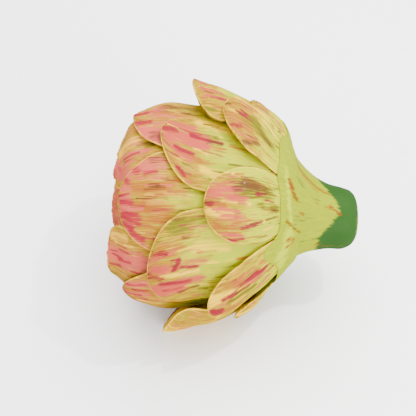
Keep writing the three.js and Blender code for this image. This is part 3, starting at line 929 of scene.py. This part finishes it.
class SeamShade:
    """The rims of all bracts, beside which a dark line of shade is painted. Its width is in mm."""

    width: float = 0.85

    def __init__(self, head: Head, bracts: tuple[Bract, ...]) -> None:
        """Keep the rim of every bract.

        Args:
            head: The form that they lie on.
            bracts: The bracts.
        """
        self.rims = {bract.name: bract.edge(head) for bract in bracts}

    def near(self, own: str, points: np.ndarray) -> np.ndarray:
        """How close points lie to the rims of the other bracts, from 1 at a rim to 0 well away from it.

        Args:
            own: The name of the bract that the points belong to.
            points: The points in mm.

        Returns:
            Nearness of each point.
        """
        others = np.concatenate([rim for name, rim in self.rims.items() if name != own])
        tree = KDTree(len(others))
        for number, place in enumerate(others):
            tree.insert(place, number)
        tree.balance()
        gaps = np.array([tree.find(place)[2] for place in points])
        return bell(gaps / self.width)


@dataclass(frozen=True)
class Lobe:
    """A pointed place of the collar's lip."""

    turn: float
    height: float
    spread: float


@dataclass(frozen=True)
class Stem:
    """The stem with its flared collar, and the heart inside the bracts. Lengths in mm."""

    stations: tuple[tuple[float, float, float], ...] = (
        (49.3, 29.0, -0.6), (50.8, 25.2, -1.0), (52.9, 22.9, -1.7), (56.6, 19.9, -2.6), (61.0, 17.3, -3.5),
        (66.2, 15.6, -4.6), (72.0, 14.9, -5.5), (75.8, 13.6, -5.5), (78.1, 11.6, -5.4), (79.5, 8.6, -5.3),
        (80.1, 4.5, -5.2), (80.2, 0.0, -5.2),
    )
    front_rise: tuple[float, ...] = (0.5, 2.0, 1.6, 0.7, 0.0)
    front_spread: float = 50.0
    neck: float = 35.2
    lip: float = 0.42
    lip_gap: float = 0.12
    lip_reach: float = 44.5
    lobes: tuple[Lobe, ...] = (
        Lobe(-29, 9.0, 9), Lobe(19, 1.8, 8), Lobe(70, -6.5, 16), Lobe(106, 3.0, 9),
        Lobe(151, 3.0, 10), Lobe(202, 3.0, 10), Lobe(250, 2.0, 9),
    )
    heart_top: float = 127.0
    heart_gap: float = 0.12
    heart_share: float = 0.25
    # Where the dark green end begins on the axis, how far it is set back in front, and its strength
    green_from: float = 60.0
    green_back: float = 10.7
    green_strength: float = 1.45
    # Stations of the collar from its neck to its lip, and angles of the lip's rounding
    collar_shares: tuple[float, ...] = (0.0, 0.35, 0.7, 1.0)
    lip_angles: tuple[float, ...] = (30.0, 60.0, 90.0, 120.0, 150.0)
    guide_shares: tuple[float, ...] = (1.0, 0.66, 0.33, 0.0)
    # Millimetres to a degree of turn, for the paint and for the bristle marks
    paint_degree: float = 0.32
    grain_degree: float = 0.36
    strokes: tuple[Stroke, ...] = strokes(
        (RED, 49.5, 50, 66, 40, 0.45, 0.9), (RED, 50, 45, 63, 38, 0.4, 0.8),
        (RED, 52, 40, 60, 34, 0.35, 0.6), (BROWN, 47, 12, 49, 7, 0.7, 0.9),
        (RED, 45.5, 18, 47.8, 11, 1.1, 0.8), (RED, 58, 16, 60, 15, 0.6, 0.6),
        (OLIVE, 50, 30, 60, 22, 2.2, 0.22), (OLIVE, 48, -12, 58, -10, 2.4, 0.2),
        (OLIVE, 52, -40, 64, -40, 2.6, 0.2), (RED, 50.5, -4, 52.5, -5, 0.5, 0.7),
        (BROWN, 43.7, -9.6, 50.9, -24, 0.4, 0.9), (RED, 44.5, -24, 47.5, -28, 0.9, 0.55),
        (RED, 44.0, -30, 47.0, -33, 0.6, 0.5), (RED, 52, -56, 62, -54, 0.5, 0.5),
        (RED, 54, -62, 63, -60, 0.4, 0.5), (RED, 62, -66, 72, -62, 0.5, 0.5),
        (RED, 65.8, 17, 70.5, 6, 0.8, 0.7), (RED, 63, 14, 66, 12, 0.5, 0.5),
        (RED, 45, 8, 54, 5, 0.3, 0.3), (CREAM, 44, 26, 46, -12, 1.2, 0.6),
        (CREAM, 45, -24, 42, -36, 3.0, 0.7),
    )
    turns: int = 240
    steps: int = 90

    def heart_offset(self, head: Head, reach: np.ndarray) -> np.ndarray:
        """Offset of the heart, which lies a little under the lowest ring that has started.

        Args:
            head: The form that the bracts lie on.
            reach: Where it is wanted.

        Returns:
            Offset in mm from the head's outline, less than 0 for inward.
        """
        out = self.heart_share + (1.0 - self.heart_share) * smooth(*COLLAR_EASE, reach)
        depth = (head.thick + head.gap + self.heart_gap) * out
        for before, ring in zip(head.rings, head.rings[1:]):
            here = smooth(ring.base - 5.0, ring.base - 1.0, reach)
            depth += here * head.pitch * (1.0 - smooth(before.reach, before.reach + before.run, reach))
            depth += here * (ring.sink - before.sink)
        return -depth

    def lip_at(self, turn: np.ndarray) -> np.ndarray:
        """Reach of the collar's lip at a turn.

        Args:
            turn: Turn about the axis from the facing direction.

        Returns:
            Degrees of reach at each turn.
        """
        reach = np.full_like(turn, self.lip_reach)
        for lobe in self.lobes:
            reach = reach + lobe.height * bell(turn_gap(turn, lobe.turn) / lobe.spread)
        return reach

    def build(self, head: Head) -> bpy.types.Object:
        """Sweep the heart, the collar and the stem about the axis as one closed form.

        Args:
            head: The form that the heart and the collar lie on.

        Returns:
            The stem's object.
        """
        turn = np.arange(self.turns) * 360.0 / self.turns
        lip = self.lip_at(turn)
        columns: list[np.ndarray] = []

        def over(reach: np.ndarray, offset: np.ndarray) -> np.ndarray:
            """Station over the head's outline, as x, radius and bend for each turn."""
            x, r, nx, nr = head.outline(reach)
            return np.stack([x + offset * nx, r + offset * nr, np.zeros_like(r)], 1)

        for reach in np.linspace(self.heart_top, self.neck, 24):
            here = np.full_like(turn, reach)
            hollow = np.minimum(0.0, head.swell(here, turn))
            columns.append(over(here, self.heart_offset(head, here) + hollow))
        for share in self.collar_shares:
            here = self.neck + (lip - self.neck) * share
            columns.append(over(here, self.lip_gap + head.swell(here, turn)))
        for angle in self.lip_angles:
            a = np.radians(angle)
            here = lip + 0.62 * self.lip * np.sin(a)
            rise = self.lip_gap + self.lip * (0.5 - 0.5 * np.cos(a))
            columns.append(over(here, rise + head.swell(here, turn)))
        hidden = len(columns)
        guide = []
        for share in self.guide_shares:
            here = self.neck + (lip - self.neck) * share
            guide.append(over(here, self.lip_gap + self.lip - 0.2 * (1 - share) + head.swell(here, turn)))
        flatter = np.minimum(0.0, head.swell(np.full_like(turn, 36.0), turn))
        for k, (x, r, bend) in enumerate(self.stations):
            shift = flatter * max(0.0, 0.95 - 0.25 * k)
            rise = self.front_rise[min(k, len(self.front_rise) - 1)]
            shift = shift + rise * bell(turn_gap(turn, 0.0) / self.front_spread)
            guide.append(np.stack([x + 0.1 * shift, r + shift, bend + 0.0 * shift], 1))
        columns.extend(self.along_guide(np.stack(guide)))
        profile = np.stack(columns)
        points = head.place(profile[..., 0], profile[..., 1], turn[None], profile[..., 2])
        stations = profile.shape[0]
        points = points[:-1].reshape(-1, 3)
        start = points[:self.turns].mean(0)
        middle = (self.stations[-1][0], 0.0, 0.0, self.stations[-1][2])
        end = head.place(*(np.array([value]) for value in middle))
        points = np.concatenate([points, start[None], end])
        rows = stations - 1
        steps = np.diff(profile[:, :, :2], axis=0)
        run = np.cumsum(np.hypot(steps[..., 0], steps[..., 1]), 0)
        length = np.concatenate([np.zeros((1, self.turns)), run])
        x = np.append(profile[:-1, :, 0].ravel(), [profile[0, 0, 0], profile[-1, 0, 0]])
        at = np.append(np.tile(turn_gap(turn, 0.0), rows), [0.0, 0.0])
        along = np.append(length[:-1].ravel(), [0.0, length[-1, 0]])
        canvas = Canvas(x, at, (1.0, self.paint_degree))
        self.paint(canvas)
        canvas.rim(np.full(x.size, NO_RIM))
        grain = np.stack([at * self.grain_degree, along], 1)
        LOG.info("stem has %d stations, %d of them hidden", stations, hidden)
        return make_piece("painted_stem", points, swept_faces(rows, self.turns), grain, canvas)

    def along_guide(self, guide: np.ndarray) -> list[np.ndarray]:
        """Smooth stations through the guide stations.

        Args:
            guide: Stations as x, radius and bend for each turn.

        Returns:
            Evenly spread stations on one smooth curve for each turn.
        """
        ends = np.concatenate([2 * guide[:1] - guide[1:2], guide, 2 * guide[-1:] - guide[-2:-1]])
        made = []
        for place in np.linspace(0.0, len(guide) - 1.0, self.steps):
            k = min(int(place), len(guide) - 2)
            s = place - k
            p0, p1, p2, p3 = ends[k:k + 4]
            tangent1, tangent2 = (p2 - p0) / 2.0, (p3 - p1) / 2.0
            near = (2 * s ** 3 - 3 * s ** 2 + 1) * p1 + (s ** 3 - 2 * s ** 2 + s) * tangent1
            made.append(near + (3 * s ** 2 - 2 * s ** 3) * p2 + (s ** 3 - s ** 2) * tangent2)
        return made

    def paint(self, canvas: Canvas) -> None:
        """Brush the dark green end with a painted highlight on its rounded tip, the leaf green flare and its
        small marks on.

        Args:
            canvas: The stem's paint layers, in mm along the axis and degrees of turn.
        """
        x = canvas.along
        edge = self.green_from + self.green_back * bell((canvas.across - 15.0) / 42.0)
        # Painted highlight on the rounded end: less olive and a cream wash past 76.5 mm. There is also a
        # little less olive in a band about turn -20.
        olive_share = 1.0 - 0.45 * smooth(76.5, 79.0, x) - 0.12 * bell((canvas.across + 20.0) / 25.0)
        canvas.add(OLIVE, self.green_strength * olive_share * smooth(-3.0, 3.0, x - edge))
        canvas.add(LEAF, 0.7 * (1.0 - smooth(0.0, 3.0, x - edge)))
        canvas.add(CREAM, 0.8 * smooth(76.5, 78.5, x))
        canvas.brush(self.strokes)


@dataclass(frozen=True)
class Bud:
    """The closed bud inside the innermost ring. Lengths in mm."""

    top: float = 178.0
    bottom: float = 134.0
    rows: int = 30
    turns: int = 90
    folds: int = 5
    fold_depth: float = 0.5

    def build(self, head: Head, stem: Stem) -> bpy.types.Object:
        """Sweep the bud about the axis, with a shallow twist of folds at its tip.

        Args:
            head: The form that it fills.
            stem: The stem, whose heart it stands on.

        Returns:
            The bud's object.
        """
        turn = np.arange(self.turns) * 360.0 / self.turns
        reach = np.linspace(self.top, self.bottom, self.rows)
        columns = []
        for value in reach:
            here = np.full_like(turn, value)
            x, r, nx, nr = head.outline(here)
            down = head.depth(7, here) + 0.6 + (0.15 if value < 160.0 else 0.0)
            twist = 2.0 * (180.0 - value)
            fold = self.fold_depth * np.abs(np.sin(np.radians(turn * self.folds / 2.0 + twist)))
            down = down + 0.3 - fold * smooth(179.0, 170.0, here) * (value > 140.0)
            columns.append(np.stack([x - down * nx, r - down * nr], 1))
        seat, r, nx, nr = head.outline(np.array([stem.heart_top]))
        floor = float((seat + stem.heart_offset(head, np.array([stem.heart_top])) * nx)[0]) - 1.2
        rim = columns[-1].copy()
        columns.append(np.stack([np.full_like(turn, floor), rim[:, 1] - 0.8], 1))
        profile = np.stack(columns)
        points = head.place(profile[..., 0], profile[..., 1], turn[None]).reshape(-1, 3)
        rows = len(columns)
        tip = points[:self.turns].mean(0)
        base = points[-self.turns:].mean(0)
        points = np.concatenate([points, tip[None], base[None]])
        at = np.append(np.tile(turn_gap(turn, 0.0) / 180.0, rows), [0.0, 0.0])
        along = np.append(np.repeat(np.linspace(1.0, 0.0, rows), self.turns), [1.0, 0.0])
        canvas = Canvas(along, at, (30.0, 60.0))
        canvas.add(ROSE, 0.75 * smooth(0.1, 0.9, along))
        canvas.add(LEAF, 0.8 * (1.0 - smooth(0.0, 0.5, along)))
        canvas.rim(np.full(at.size, NO_RIM))
        grain = np.stack([at * 60.0, along * 30.0], 1)
        return make_piece("painted_bud", points, swept_faces(rows, self.turns), grain, canvas)


FLOAT = "NodeSocketFloat"
COLOR = "NodeSocketColor"
VECTOR = "NodeSocketVector"
# Colour sockets of a mix node by number, since its sockets for other values have the same names
MIX_UNDER = 6
MIX_OVER = 7
MIX_RESULT = 2


class NodeKit:
    """Short ways of adding nodes to one node tree."""

    def __init__(self, tree: bpy.types.NodeTree) -> None:
        """Keep the tree.

        Args:
            tree: The tree that the nodes go into.
        """
        self.tree = tree
        self.link = tree.links.new

    def node(self, kind: str) -> bpy.types.Node:
        """Add a node of a kind."""
        return self.tree.nodes.new(kind)

    def feed(self, socket: bpy.types.NodeSocket, value: "bpy.types.NodeSocket | float") -> None:
        """Feed a socket from another one, or with a number.

        Args:
            socket: The socket that takes it.
            value: The socket to link from, or the number.
        """
        if isinstance(value, bpy.types.NodeSocket):
            self.link(value, socket)
        else:
            socket.default_value = value

    def math(
        self, operation: str, *values: "bpy.types.NodeSocket | float", clamp: bool = False
    ) -> bpy.types.NodeSocket:
        """Add one sum.

        Args:
            operation: What is done with the values.
            values: Sockets or numbers, in the order in which the sum takes them.
            clamp: Whether the result is kept between 0 and 1.

        Returns:
            The result's socket.
        """
        node = self.node("ShaderNodeMath")
        node.operation = operation
        node.use_clamp = clamp
        for socket, value in zip(node.inputs, values):
            self.feed(socket, value)
        return node.outputs[0]

    def ease(
        self, value: bpy.types.NodeSocket, start: float, end: float, most: float = 1.0
    ) -> bpy.types.NodeSocket:
        """Rise smoothly from 0 to a greatest value.

        Args:
            value: What the rise follows.
            start: Where it is 0.
            end: Where it is full, which may be below the start.
            most: The greatest value.

        Returns:
            The result's socket.
        """
        node = self.node("ShaderNodeMapRange")
        node.interpolation_type = "SMOOTHSTEP"
        node.inputs["From Min"].default_value = start
        node.inputs["From Max"].default_value = end
        node.inputs["To Max"].default_value = most
        self.link(value, node.inputs["Value"])
        return node.outputs["Result"]

    def mix(
        self, mask: bpy.types.NodeSocket, under: bpy.types.NodeSocket, over: bpy.types.NodeSocket
    ) -> bpy.types.NodeSocket:
        """Lay one colour over another.

        Args:
            mask: How far the upper colour covers.
            under: The lower colour.
            over: The upper colour.

        Returns:
            The mixed colour's socket.
        """
        node = self.node("ShaderNodeMix")
        node.data_type = "RGBA"
        self.link(mask, node.inputs["Factor"])
        self.link(under, node.inputs[MIX_UNDER])
        self.link(over, node.inputs[MIX_OVER])
        return node.outputs[MIX_RESULT]

    def group(
        self, tree: bpy.types.NodeTree, values: "dict[str, bpy.types.NodeSocket | float]"
    ) -> bpy.types.Node:
        """Add a node group and feed its inputs.

        Args:
            tree: The group.
            values: A socket or a number for each input by name.

        Returns:
            The group's node.
        """
        node = self.node("ShaderNodeGroup")
        node.node_tree = tree
        for name, value in values.items():
            self.feed(node.inputs[name], value)
        return node


@dataclass(frozen=True)
class Marks:
    """Bristle marks: their width and length in mm, contrast, and how far aside they are from other sets."""

    width: float
    length: float
    contrast: float
    aside: float = 0.0


@dataclass(frozen=True)
class Streaks:
    """Sparse fine streaks of a tint: the part of their bristle marks above a share, up to a strength."""

    tint: str
    width: float
    aside: float
    share: float
    most: float


@dataclass(frozen=True)
class Cover:
    """How a tint's amount covers: by which marks it is broken up, how raggedly and how strongly."""

    marks: Marks
    ragged: float
    strength: float


FINE = Marks(0.4, 8.0, 3.0)
BROAD = Marks(0.95, 13.0, 2.8, 13.0)
PATCHY = Marks(3.0, 7.0, 2.4, 31.0)
DRAGGED = Marks(0.6, 11.0, 3.0, 47.0)
COVERS = {
    "Leaf": Cover(PATCHY, 0.5, 0.95),
    "Cream": Cover(BROAD, 0.8, 0.85),
    "Orange": Cover(BROAD, 0.9, 0.85),
    "Olive": Cover(BROAD, 0.9, 1.0),
    "Rose": Cover(DRAGGED, 1.05, 0.88),
    "Red": Cover(FINE, 0.95, 0.97),
    "Brown": Cover(FINE, 1.05, 0.9),
}
GROUND_STREAKS = (
    Streaks("Leaf", 0.7, 5.0, 0.5, 0.7),
    Streaks("Orange", 0.5, 17.0, 0.55, 0.6),
    Streaks("Olive", 0.4, 29.0, 0.55, 0.55),
)
LEAF_STREAKS = (
    Streaks("Cream", 0.45, 71.0, 0.55, 0.65),
    Streaks("Rose", 0.35, 83.0, 0.55, 0.7),
    Streaks("Brown", 0.30, 97.0, 0.6, 0.6),
)


class Groups:
    """The shader node groups that the glazes share, each built once."""

    # The bristle noise and the middle of its range
    noise_detail: float = 3.0
    noise_roughness: float = 0.6
    middle: float = 0.5
    # A tint counts as present from a small amount on, and its cover rises between two amounts
    present_gain: float = 4.0
    cover_from: float = 0.12
    cover_full: float = 0.72
    # Length and contrast of the sparse streaks, and how fast they rise above their share
    streak_length: float = 9.0
    streak_contrast: float = 2.2
    streak_rise: float = 0.3
    # How much of the streaks a full leaf green hides
    leaf_hides: float = 0.45
    # Distances in mm between which the rim's pale tint fades out; the tint is partly the rims' own pale
    # colour and partly a painted highlight along them
    rim_gone: float = 0.75
    rim_full: float = 0.2
    # Height of the broad marks beside the fine ones
    broad_height: float = 0.6

    def __init__(self) -> None:
        """Build the groups in the order in which they use each other."""
        self.bristle = self.make_bristle()
        self.cover = self.make_cover()
        self.glaze = self.make_glaze()

    @staticmethod
    def start(
        name: str, inputs: dict[str, str], outputs: dict[str, str]
    ) -> tuple[NodeKit, bpy.types.Node, bpy.types.Node]:
        """Begin a group with named sockets.

        Args:
            name: The group's name.
            inputs: Socket type of each input by name.
            outputs: Socket type of each output by name.

        Returns:
            A kit for the group's tree, and the group's input and output nodes.
        """
        tree = bpy.data.node_groups.new(name, "ShaderNodeTree")
        for socket, kind in inputs.items():
            tree.interface.new_socket(name=socket, in_out="INPUT", socket_type=kind)
        for socket, kind in outputs.items():
            tree.interface.new_socket(name=socket, in_out="OUTPUT", socket_type=kind)
        return NodeKit(tree), tree.nodes.new("NodeGroupInput"), tree.nodes.new("NodeGroupOutput")

    def make_bristle(self) -> bpy.types.NodeTree:
        """Marks of a brush along the bract: long thin noise with a firm contrast.

        Returns:
            The group's tree.
        """
        inputs = {"Grain": VECTOR, "Width": FLOAT, "Length": FLOAT, "Contrast": FLOAT}
        kit, inp, out = self.start("bristle_marks", inputs, {"Value": FLOAT})
        split = kit.node("ShaderNodeSeparateXYZ")
        kit.link(inp.outputs["Grain"], split.inputs[0])
        join = kit.node("ShaderNodeCombineXYZ")
        for axis, size in (("X", "Width"), ("Y", "Length")):
            kit.link(kit.math("DIVIDE", split.outputs[axis], inp.outputs[size]), join.inputs[axis])
        noise = kit.node("ShaderNodeTexNoise")
        noise.inputs["Scale"].default_value = 1.0
        noise.inputs["Detail"].default_value = self.noise_detail
        noise.inputs["Roughness"].default_value = self.noise_roughness
        kit.link(join.outputs[0], noise.inputs["Vector"])
        centred = kit.math("SUBTRACT", noise.outputs["Fac"], self.middle)
        firm = kit.math("MULTIPLY_ADD", centred, inp.outputs["Contrast"], self.middle, clamp=True)
        kit.link(firm, out.inputs["Value"])
        return kit.tree

    def make_cover(self) -> bpy.types.NodeTree:
        """How far a tint covers: its amount, broken up by the bristle marks.

        Returns:
            The group's tree.
        """
        inputs = {"Amount": FLOAT, "Marks": FLOAT, "Ragged": FLOAT, "Strength": FLOAT}
        kit, inp, out = self.start("tint_cover", inputs, {"Mask": FLOAT})
        given = inp.outputs
        shift = kit.math("SUBTRACT", given["Marks"], self.middle)
        present = kit.math("MULTIPLY", given["Amount"], self.present_gain, clamp=True)
        ragged = kit.math("MULTIPLY", present, given["Ragged"])
        wander = kit.math("MULTIPLY_ADD", shift, ragged, given["Amount"])
        eased = kit.ease(wander, self.cover_from, self.cover_full)
        kit.link(kit.math("MULTIPLY", eased, given["Strength"], clamp=True), out.inputs["Mask"])
        return kit.tree

    def make_glaze(self) -> bpy.types.NodeTree:
        """All tints over the ground, one over another, with the bristle marks' height.

        Returns:
            The group's tree.
        """
        inputs = {"Grain": VECTOR, "Rim": FLOAT, "Ground": COLOR, "Deep ground": COLOR, "Rim tint": COLOR}
        for tint in COVERS:
            inputs[tint] = FLOAT
            inputs[f"{tint} tint"] = COLOR
        kit, inp, out = self.start("brushed_glaze", inputs, {"Color": COLOR, "Height": FLOAT, "Wet": FLOAT})
        given = inp.outputs

        def marks(kind: Marks) -> bpy.types.NodeSocket:
            """Add one set of bristle marks.

            Args:
                kind: Their sizes, contrast and place.

            Returns:
                The marks' socket.
            """
            move = kit.node("ShaderNodeVectorMath")
            move.operation = "ADD"
            move.inputs[1].default_value = (kind.aside, 0.7 * kind.aside, 0.0)
            kit.link(given["Grain"], move.inputs[0])
            return kit.group(self.bristle, {
                "Grain": move.outputs[0], "Width": kind.width, "Length": kind.length,
                "Contrast": kind.contrast,
            }).outputs["Value"]

        def streaks(kind: Streaks) -> bpy.types.NodeSocket:
            """Add the mask of one set of sparse streaks.

            Args:
                kind: Their size, place and share.

            Returns:
                The mask's socket.
            """
            source = marks(Marks(kind.width, self.streak_length, self.streak_contrast, kind.aside))
            return kit.ease(source, kind.share, kind.share + self.streak_rise, kind.most)

        sources = {kind: marks(kind) for kind in (FINE, BROAD, PATCHY, DRAGGED)}
        color = kit.mix(sources[BROAD], given["Ground"], given["Deep ground"])
        for kind in GROUND_STREAKS:
            color = kit.mix(streaks(kind), color, given[f"{kind.tint} tint"])
        for tint, cover in COVERS.items():
            node = kit.group(self.cover, {
                "Amount": given[tint], "Marks": sources[cover.marks], "Ragged": cover.ragged,
                "Strength": cover.strength,
            })
            color = kit.mix(node.outputs["Mask"], color, given[f"{tint} tint"])
            if tint == "Leaf":
                shown = kit.math("MULTIPLY_ADD", given["Leaf"], -self.leaf_hides, 1.0, clamp=True)
                for kind in LEAF_STREAKS:
                    mask = kit.math("MULTIPLY", streaks(kind), shown)
                    color = kit.mix(mask, color, given[f"{kind.tint} tint"])
        # The pale rim line is partly the rims' own colour and partly a painted highlight.
        lit = kit.ease(given["Rim"], self.rim_gone, self.rim_full)
        color = kit.mix(kit.math("MULTIPLY", lit, sources[PATCHY]), color, given["Rim tint"])
        kit.link(color, out.inputs["Color"])
        height = kit.math("MULTIPLY_ADD", sources[BROAD], self.broad_height, sources[FINE])
        kit.link(height, out.inputs["Height"])
        kit.link(sources[PATCHY], out.inputs["Wet"])
        return kit.tree


@dataclass(frozen=True)
class Glaze:
    """A painted glaze: its colours as plain codes, its gloss and how deep its brush marks are."""

    name: str
    ground: str = "8E7204"
    deep_ground: str = "6E5202"
    leaf: str = "8A9403"
    cream: str = "CAA00C"
    orange: str = "824816"
    rose: str = "9A3632"
    red: str = "701422"
    olive: str = "58540E"
    brown: str = "4B2C1A"
    rim: str = "DCB028"
    roughness: tuple[float, float] = (0.3, 0.45)
    specular: float = 0.0
    coat: float = 0.025
    coat_roughness: float = 0.08
    relief: float = 0.25
    relief_mm: float = 0.15

    def material(self, groups: Groups) -> bpy.types.Material:
        """Build the material from the shared groups.

        Args:
            groups: The shared shader groups.

        Returns:
            The glaze's material.
        """
        made = bpy.data.materials.new(self.name)
        made.use_nodes = True
        tree = made.node_tree
        link = tree.links.new
        shader = tree.nodes["Principled BSDF"]
        shader.inputs["Specular IOR Level"].default_value = self.specular
        shader.inputs["Coat Weight"].default_value = self.coat
        shader.inputs["Coat Roughness"].default_value = self.coat_roughness
        grain = tree.nodes.new("ShaderNodeUVMap")
        grain.uv_map = "grain"
        node = NodeKit(tree).group(groups.glaze, {"Grain": grain.outputs["UV"]})
        codes = {
            "Ground": self.ground, "Deep ground": self.deep_ground, "Rim tint": self.rim,
            "Leaf tint": self.leaf, "Cream tint": self.cream, "Orange tint": self.orange,
            "Rose tint": self.rose, "Red tint": self.red, "Olive tint": self.olive,
            "Brown tint": self.brown,
        }
        for socket, code in codes.items():
            node.inputs[socket].default_value = linear(code)
        for layer in LAYERS:
            paint = tree.nodes.new("ShaderNodeAttribute")
            paint.attribute_name = layer
            split = tree.nodes.new("ShaderNodeSeparateColor")
            link(paint.outputs["Color"], split.inputs["Color"])
            channels = [split.outputs[name] for name in ("Red", "Green", "Blue")]
            channels.append(paint.outputs["Alpha"])
            for tint in Tint:
                if tint.value[0] == layer:
                    link(channels[tint.value[1]], node.inputs[tint.name.capitalize()])
            if layer == "brush_cool":
                link(channels[RIM_CHANNEL], node.inputs["Rim"])
        link(node.outputs["Color"], shader.inputs["Base Color"])
        gloss = tree.nodes.new("ShaderNodeMapRange")
        gloss.inputs["To Min"].default_value = self.roughness[0]
        gloss.inputs["To Max"].default_value = self.roughness[1]
        link(node.outputs["Wet"], gloss.inputs["Value"])
        link(gloss.outputs["Result"], shader.inputs["Roughness"])
        bump = tree.nodes.new("ShaderNodeBump")
        bump.inputs["Strength"].default_value = self.relief
        bump.inputs["Distance"].default_value = self.relief_mm * MM
        link(node.outputs["Height"], bump.inputs["Height"])
        link(bump.outputs["Normal"], shader.inputs["Normal"])
        return made


@dataclass(frozen=True)
class Lamp:
    """A square soft light: its place, the point it faces and its side in metres, and its power in watts."""

    name: str
    place: tuple[float, float, float]
    aim: tuple[float, float, float]
    size: float
    power: float

    def hang(self) -> None:
        """Add the light to the scene."""
        lamp = bpy.data.lights.new(self.name, "AREA")
        lamp.shape = "SQUARE"
        lamp.size = self.size
        lamp.energy = self.power
        holder = bpy.data.objects.new(self.name, lamp)
        holder.location = self.place
        facing = Vector(self.aim) - Vector(self.place)
        holder.rotation_euler = facing.to_track_quat("-Z", "Y").to_euler()
        bpy.context.scene.collection.objects.link(holder)


@dataclass(frozen=True)
class Studio:
    """Pale floor, soft lights and the camera. Lengths in metres unless named otherwise."""

    floor_size: float = 6.0
    floor_tones: tuple[str, str] = ("EDEDED", "EAEAEA")
    floor_roughness: float = 0.85
    floor_grain: float = 900.0
    aim_mm: tuple[float, float] = (-3.36, -0.72)
    distance_mm: float = 554.7
    lens: float = 100.0
    sensor: float = 36.0
    sky: float = 1.3
    lamps: tuple[Lamp, ...] = (
        Lamp("key_box", (0.10, 0.24, 0.74), (0.0, 0.0, 0.03), 1.0, 29.0),
        Lamp("front_box", (0.40, -0.72, 0.16), (0.0, -0.03, 0.03), 0.8, 26.0),
        Lamp("left_box", (-0.60, -0.40, 0.50), (0.0, 0.0, 0.05), 0.6, 3.12),
        Lamp("spark", (0.25, 0.02, 0.60), (0.0, 0.0, 0.05), 0.02, 2.6),
    )

    def build(self, head: Head) -> None:
        """Lay the floor, hang the lights and set the camera up.

        Args:
            head: The head, for the height of its axis.
        """
        self.lay_floor()
        for lamp in self.lamps:
            lamp.hang()
        world = bpy.data.worlds.new("studio_air")
        world.use_nodes = True
        air = world.node_tree.nodes["Background"]
        air.inputs["Color"].default_value = (1.0, 1.0, 1.0, 1.0)
        air.inputs["Strength"].default_value = self.sky
        bpy.context.scene.world = world
        self.set_camera(head)

    def lay_floor(self) -> None:
        """Make the floor with a fine, nearly even matt surface."""
        half = self.floor_size / 2.0
        mesh = bpy.data.meshes.new("floor")
        corners = [(-half, -half, 0), (half, -half, 0), (half, half, 0), (-half, half, 0)]
        mesh.from_pydata(corners, [], [(0, 1, 2, 3)])
        floor = bpy.data.objects.new("floor", mesh)
        bpy.context.scene.collection.objects.link(floor)
        made = bpy.data.materials.new("floor_paper")
        made.use_nodes = True
        tree = made.node_tree
        shader = tree.nodes["Principled BSDF"]
        shader.inputs["Roughness"].default_value = self.floor_roughness
        place = tree.nodes.new("ShaderNodeTexCoord")
        noise = tree.nodes.new("ShaderNodeTexNoise")
        noise.inputs["Scale"].default_value = self.floor_grain
        tree.links.new(place.outputs["Object"], noise.inputs["Vector"])
        tone = tree.nodes.new("ShaderNodeMix")
        tone.data_type = "RGBA"
        tone.inputs[MIX_UNDER].default_value = linear(self.floor_tones[0])
        tone.inputs[MIX_OVER].default_value = linear(self.floor_tones[1])
        tree.links.new(noise.outputs["Fac"], tone.inputs["Factor"])
        tree.links.new(tone.outputs[MIX_RESULT], shader.inputs["Base Color"])
        mesh.materials.append(made)

    def set_camera(self, head: Head) -> None:
        """Place the camera at the viewing angle, square to the artichoke's axis.

        Args:
            head: The head, for the height of its axis.
        """
        c = float(np.cos(np.radians(FACE)))
        s = float(np.sin(np.radians(FACE)))
        back = Vector((0.0, -c, s))
        up = Vector((0.0, s, c))
        data = bpy.data.cameras.new("camera")
        data.lens = self.lens
        data.sensor_width = self.sensor
        camera = bpy.data.objects.new("camera", data)
        aim = Vector((self.aim_mm[0], 0.0, head.axis_height)) + up * self.aim_mm[1]
        spot = aim + back * self.distance_mm
        turned = Matrix((Vector((1.0, 0.0, 0.0)), up, back)).transposed().to_4x4()
        camera.matrix_world = Matrix.Translation(spot * MM) @ turned
        bpy.context.scene.collection.objects.link(camera)
        bpy.context.scene.camera = camera


OUTER = Glaze("outer_glaze")
MIDDLE = Glaze(
    "middle_glaze", ground="966E14", deep_ground="784E0A", cream="CA9A26", rose="A8443F", red="801C28",
)
INNER = Glaze("inner_glaze", ground="94602C", deep_ground="845024")
STEM = Glaze(
    "stem_glaze", ground="767E03", deep_ground="667003", leaf="747E03", cream="929C04", orange="747202",
    rose="727003", red="6C340C", brown="5E4204", olive="24401A",
)


def main() -> None:
    """Build the studio, the stem, the bud and every bract, then note the sizes."""
    logging.basicConfig(level=logging.INFO, format="%(name)s: %(message)s")
    head = Head()
    Studio().build(head)
    groups = Groups()
    glazes = {finish.name: finish.material(groups) for finish in (OUTER, MIDDLE, INNER, STEM)}
    stem = Stem()
    made = [(stem.build(head), "stem_glaze"), (Bud().build(head, stem), "inner_glaze")]
    bracts = BRACTS + even_bracts()
    seams = SeamShade(head, bracts)
    for number, bract in enumerate(bracts):
        slot = ("outer_glaze", "middle_glaze", "inner_glaze")[(bract.ring - 1) // 2]
        made.append((bract.build(head, number, seams), slot))
    for piece, slot in made:
        node = piece.name.removeprefix("painted_")
        piece.data.materials.append(glazes[slot])
        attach(piece, "root")
        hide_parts(node)
        LOG.info("%s: %d faces", piece.name, len(piece.data.polygons))


if __name__ == "__main__":
    main()
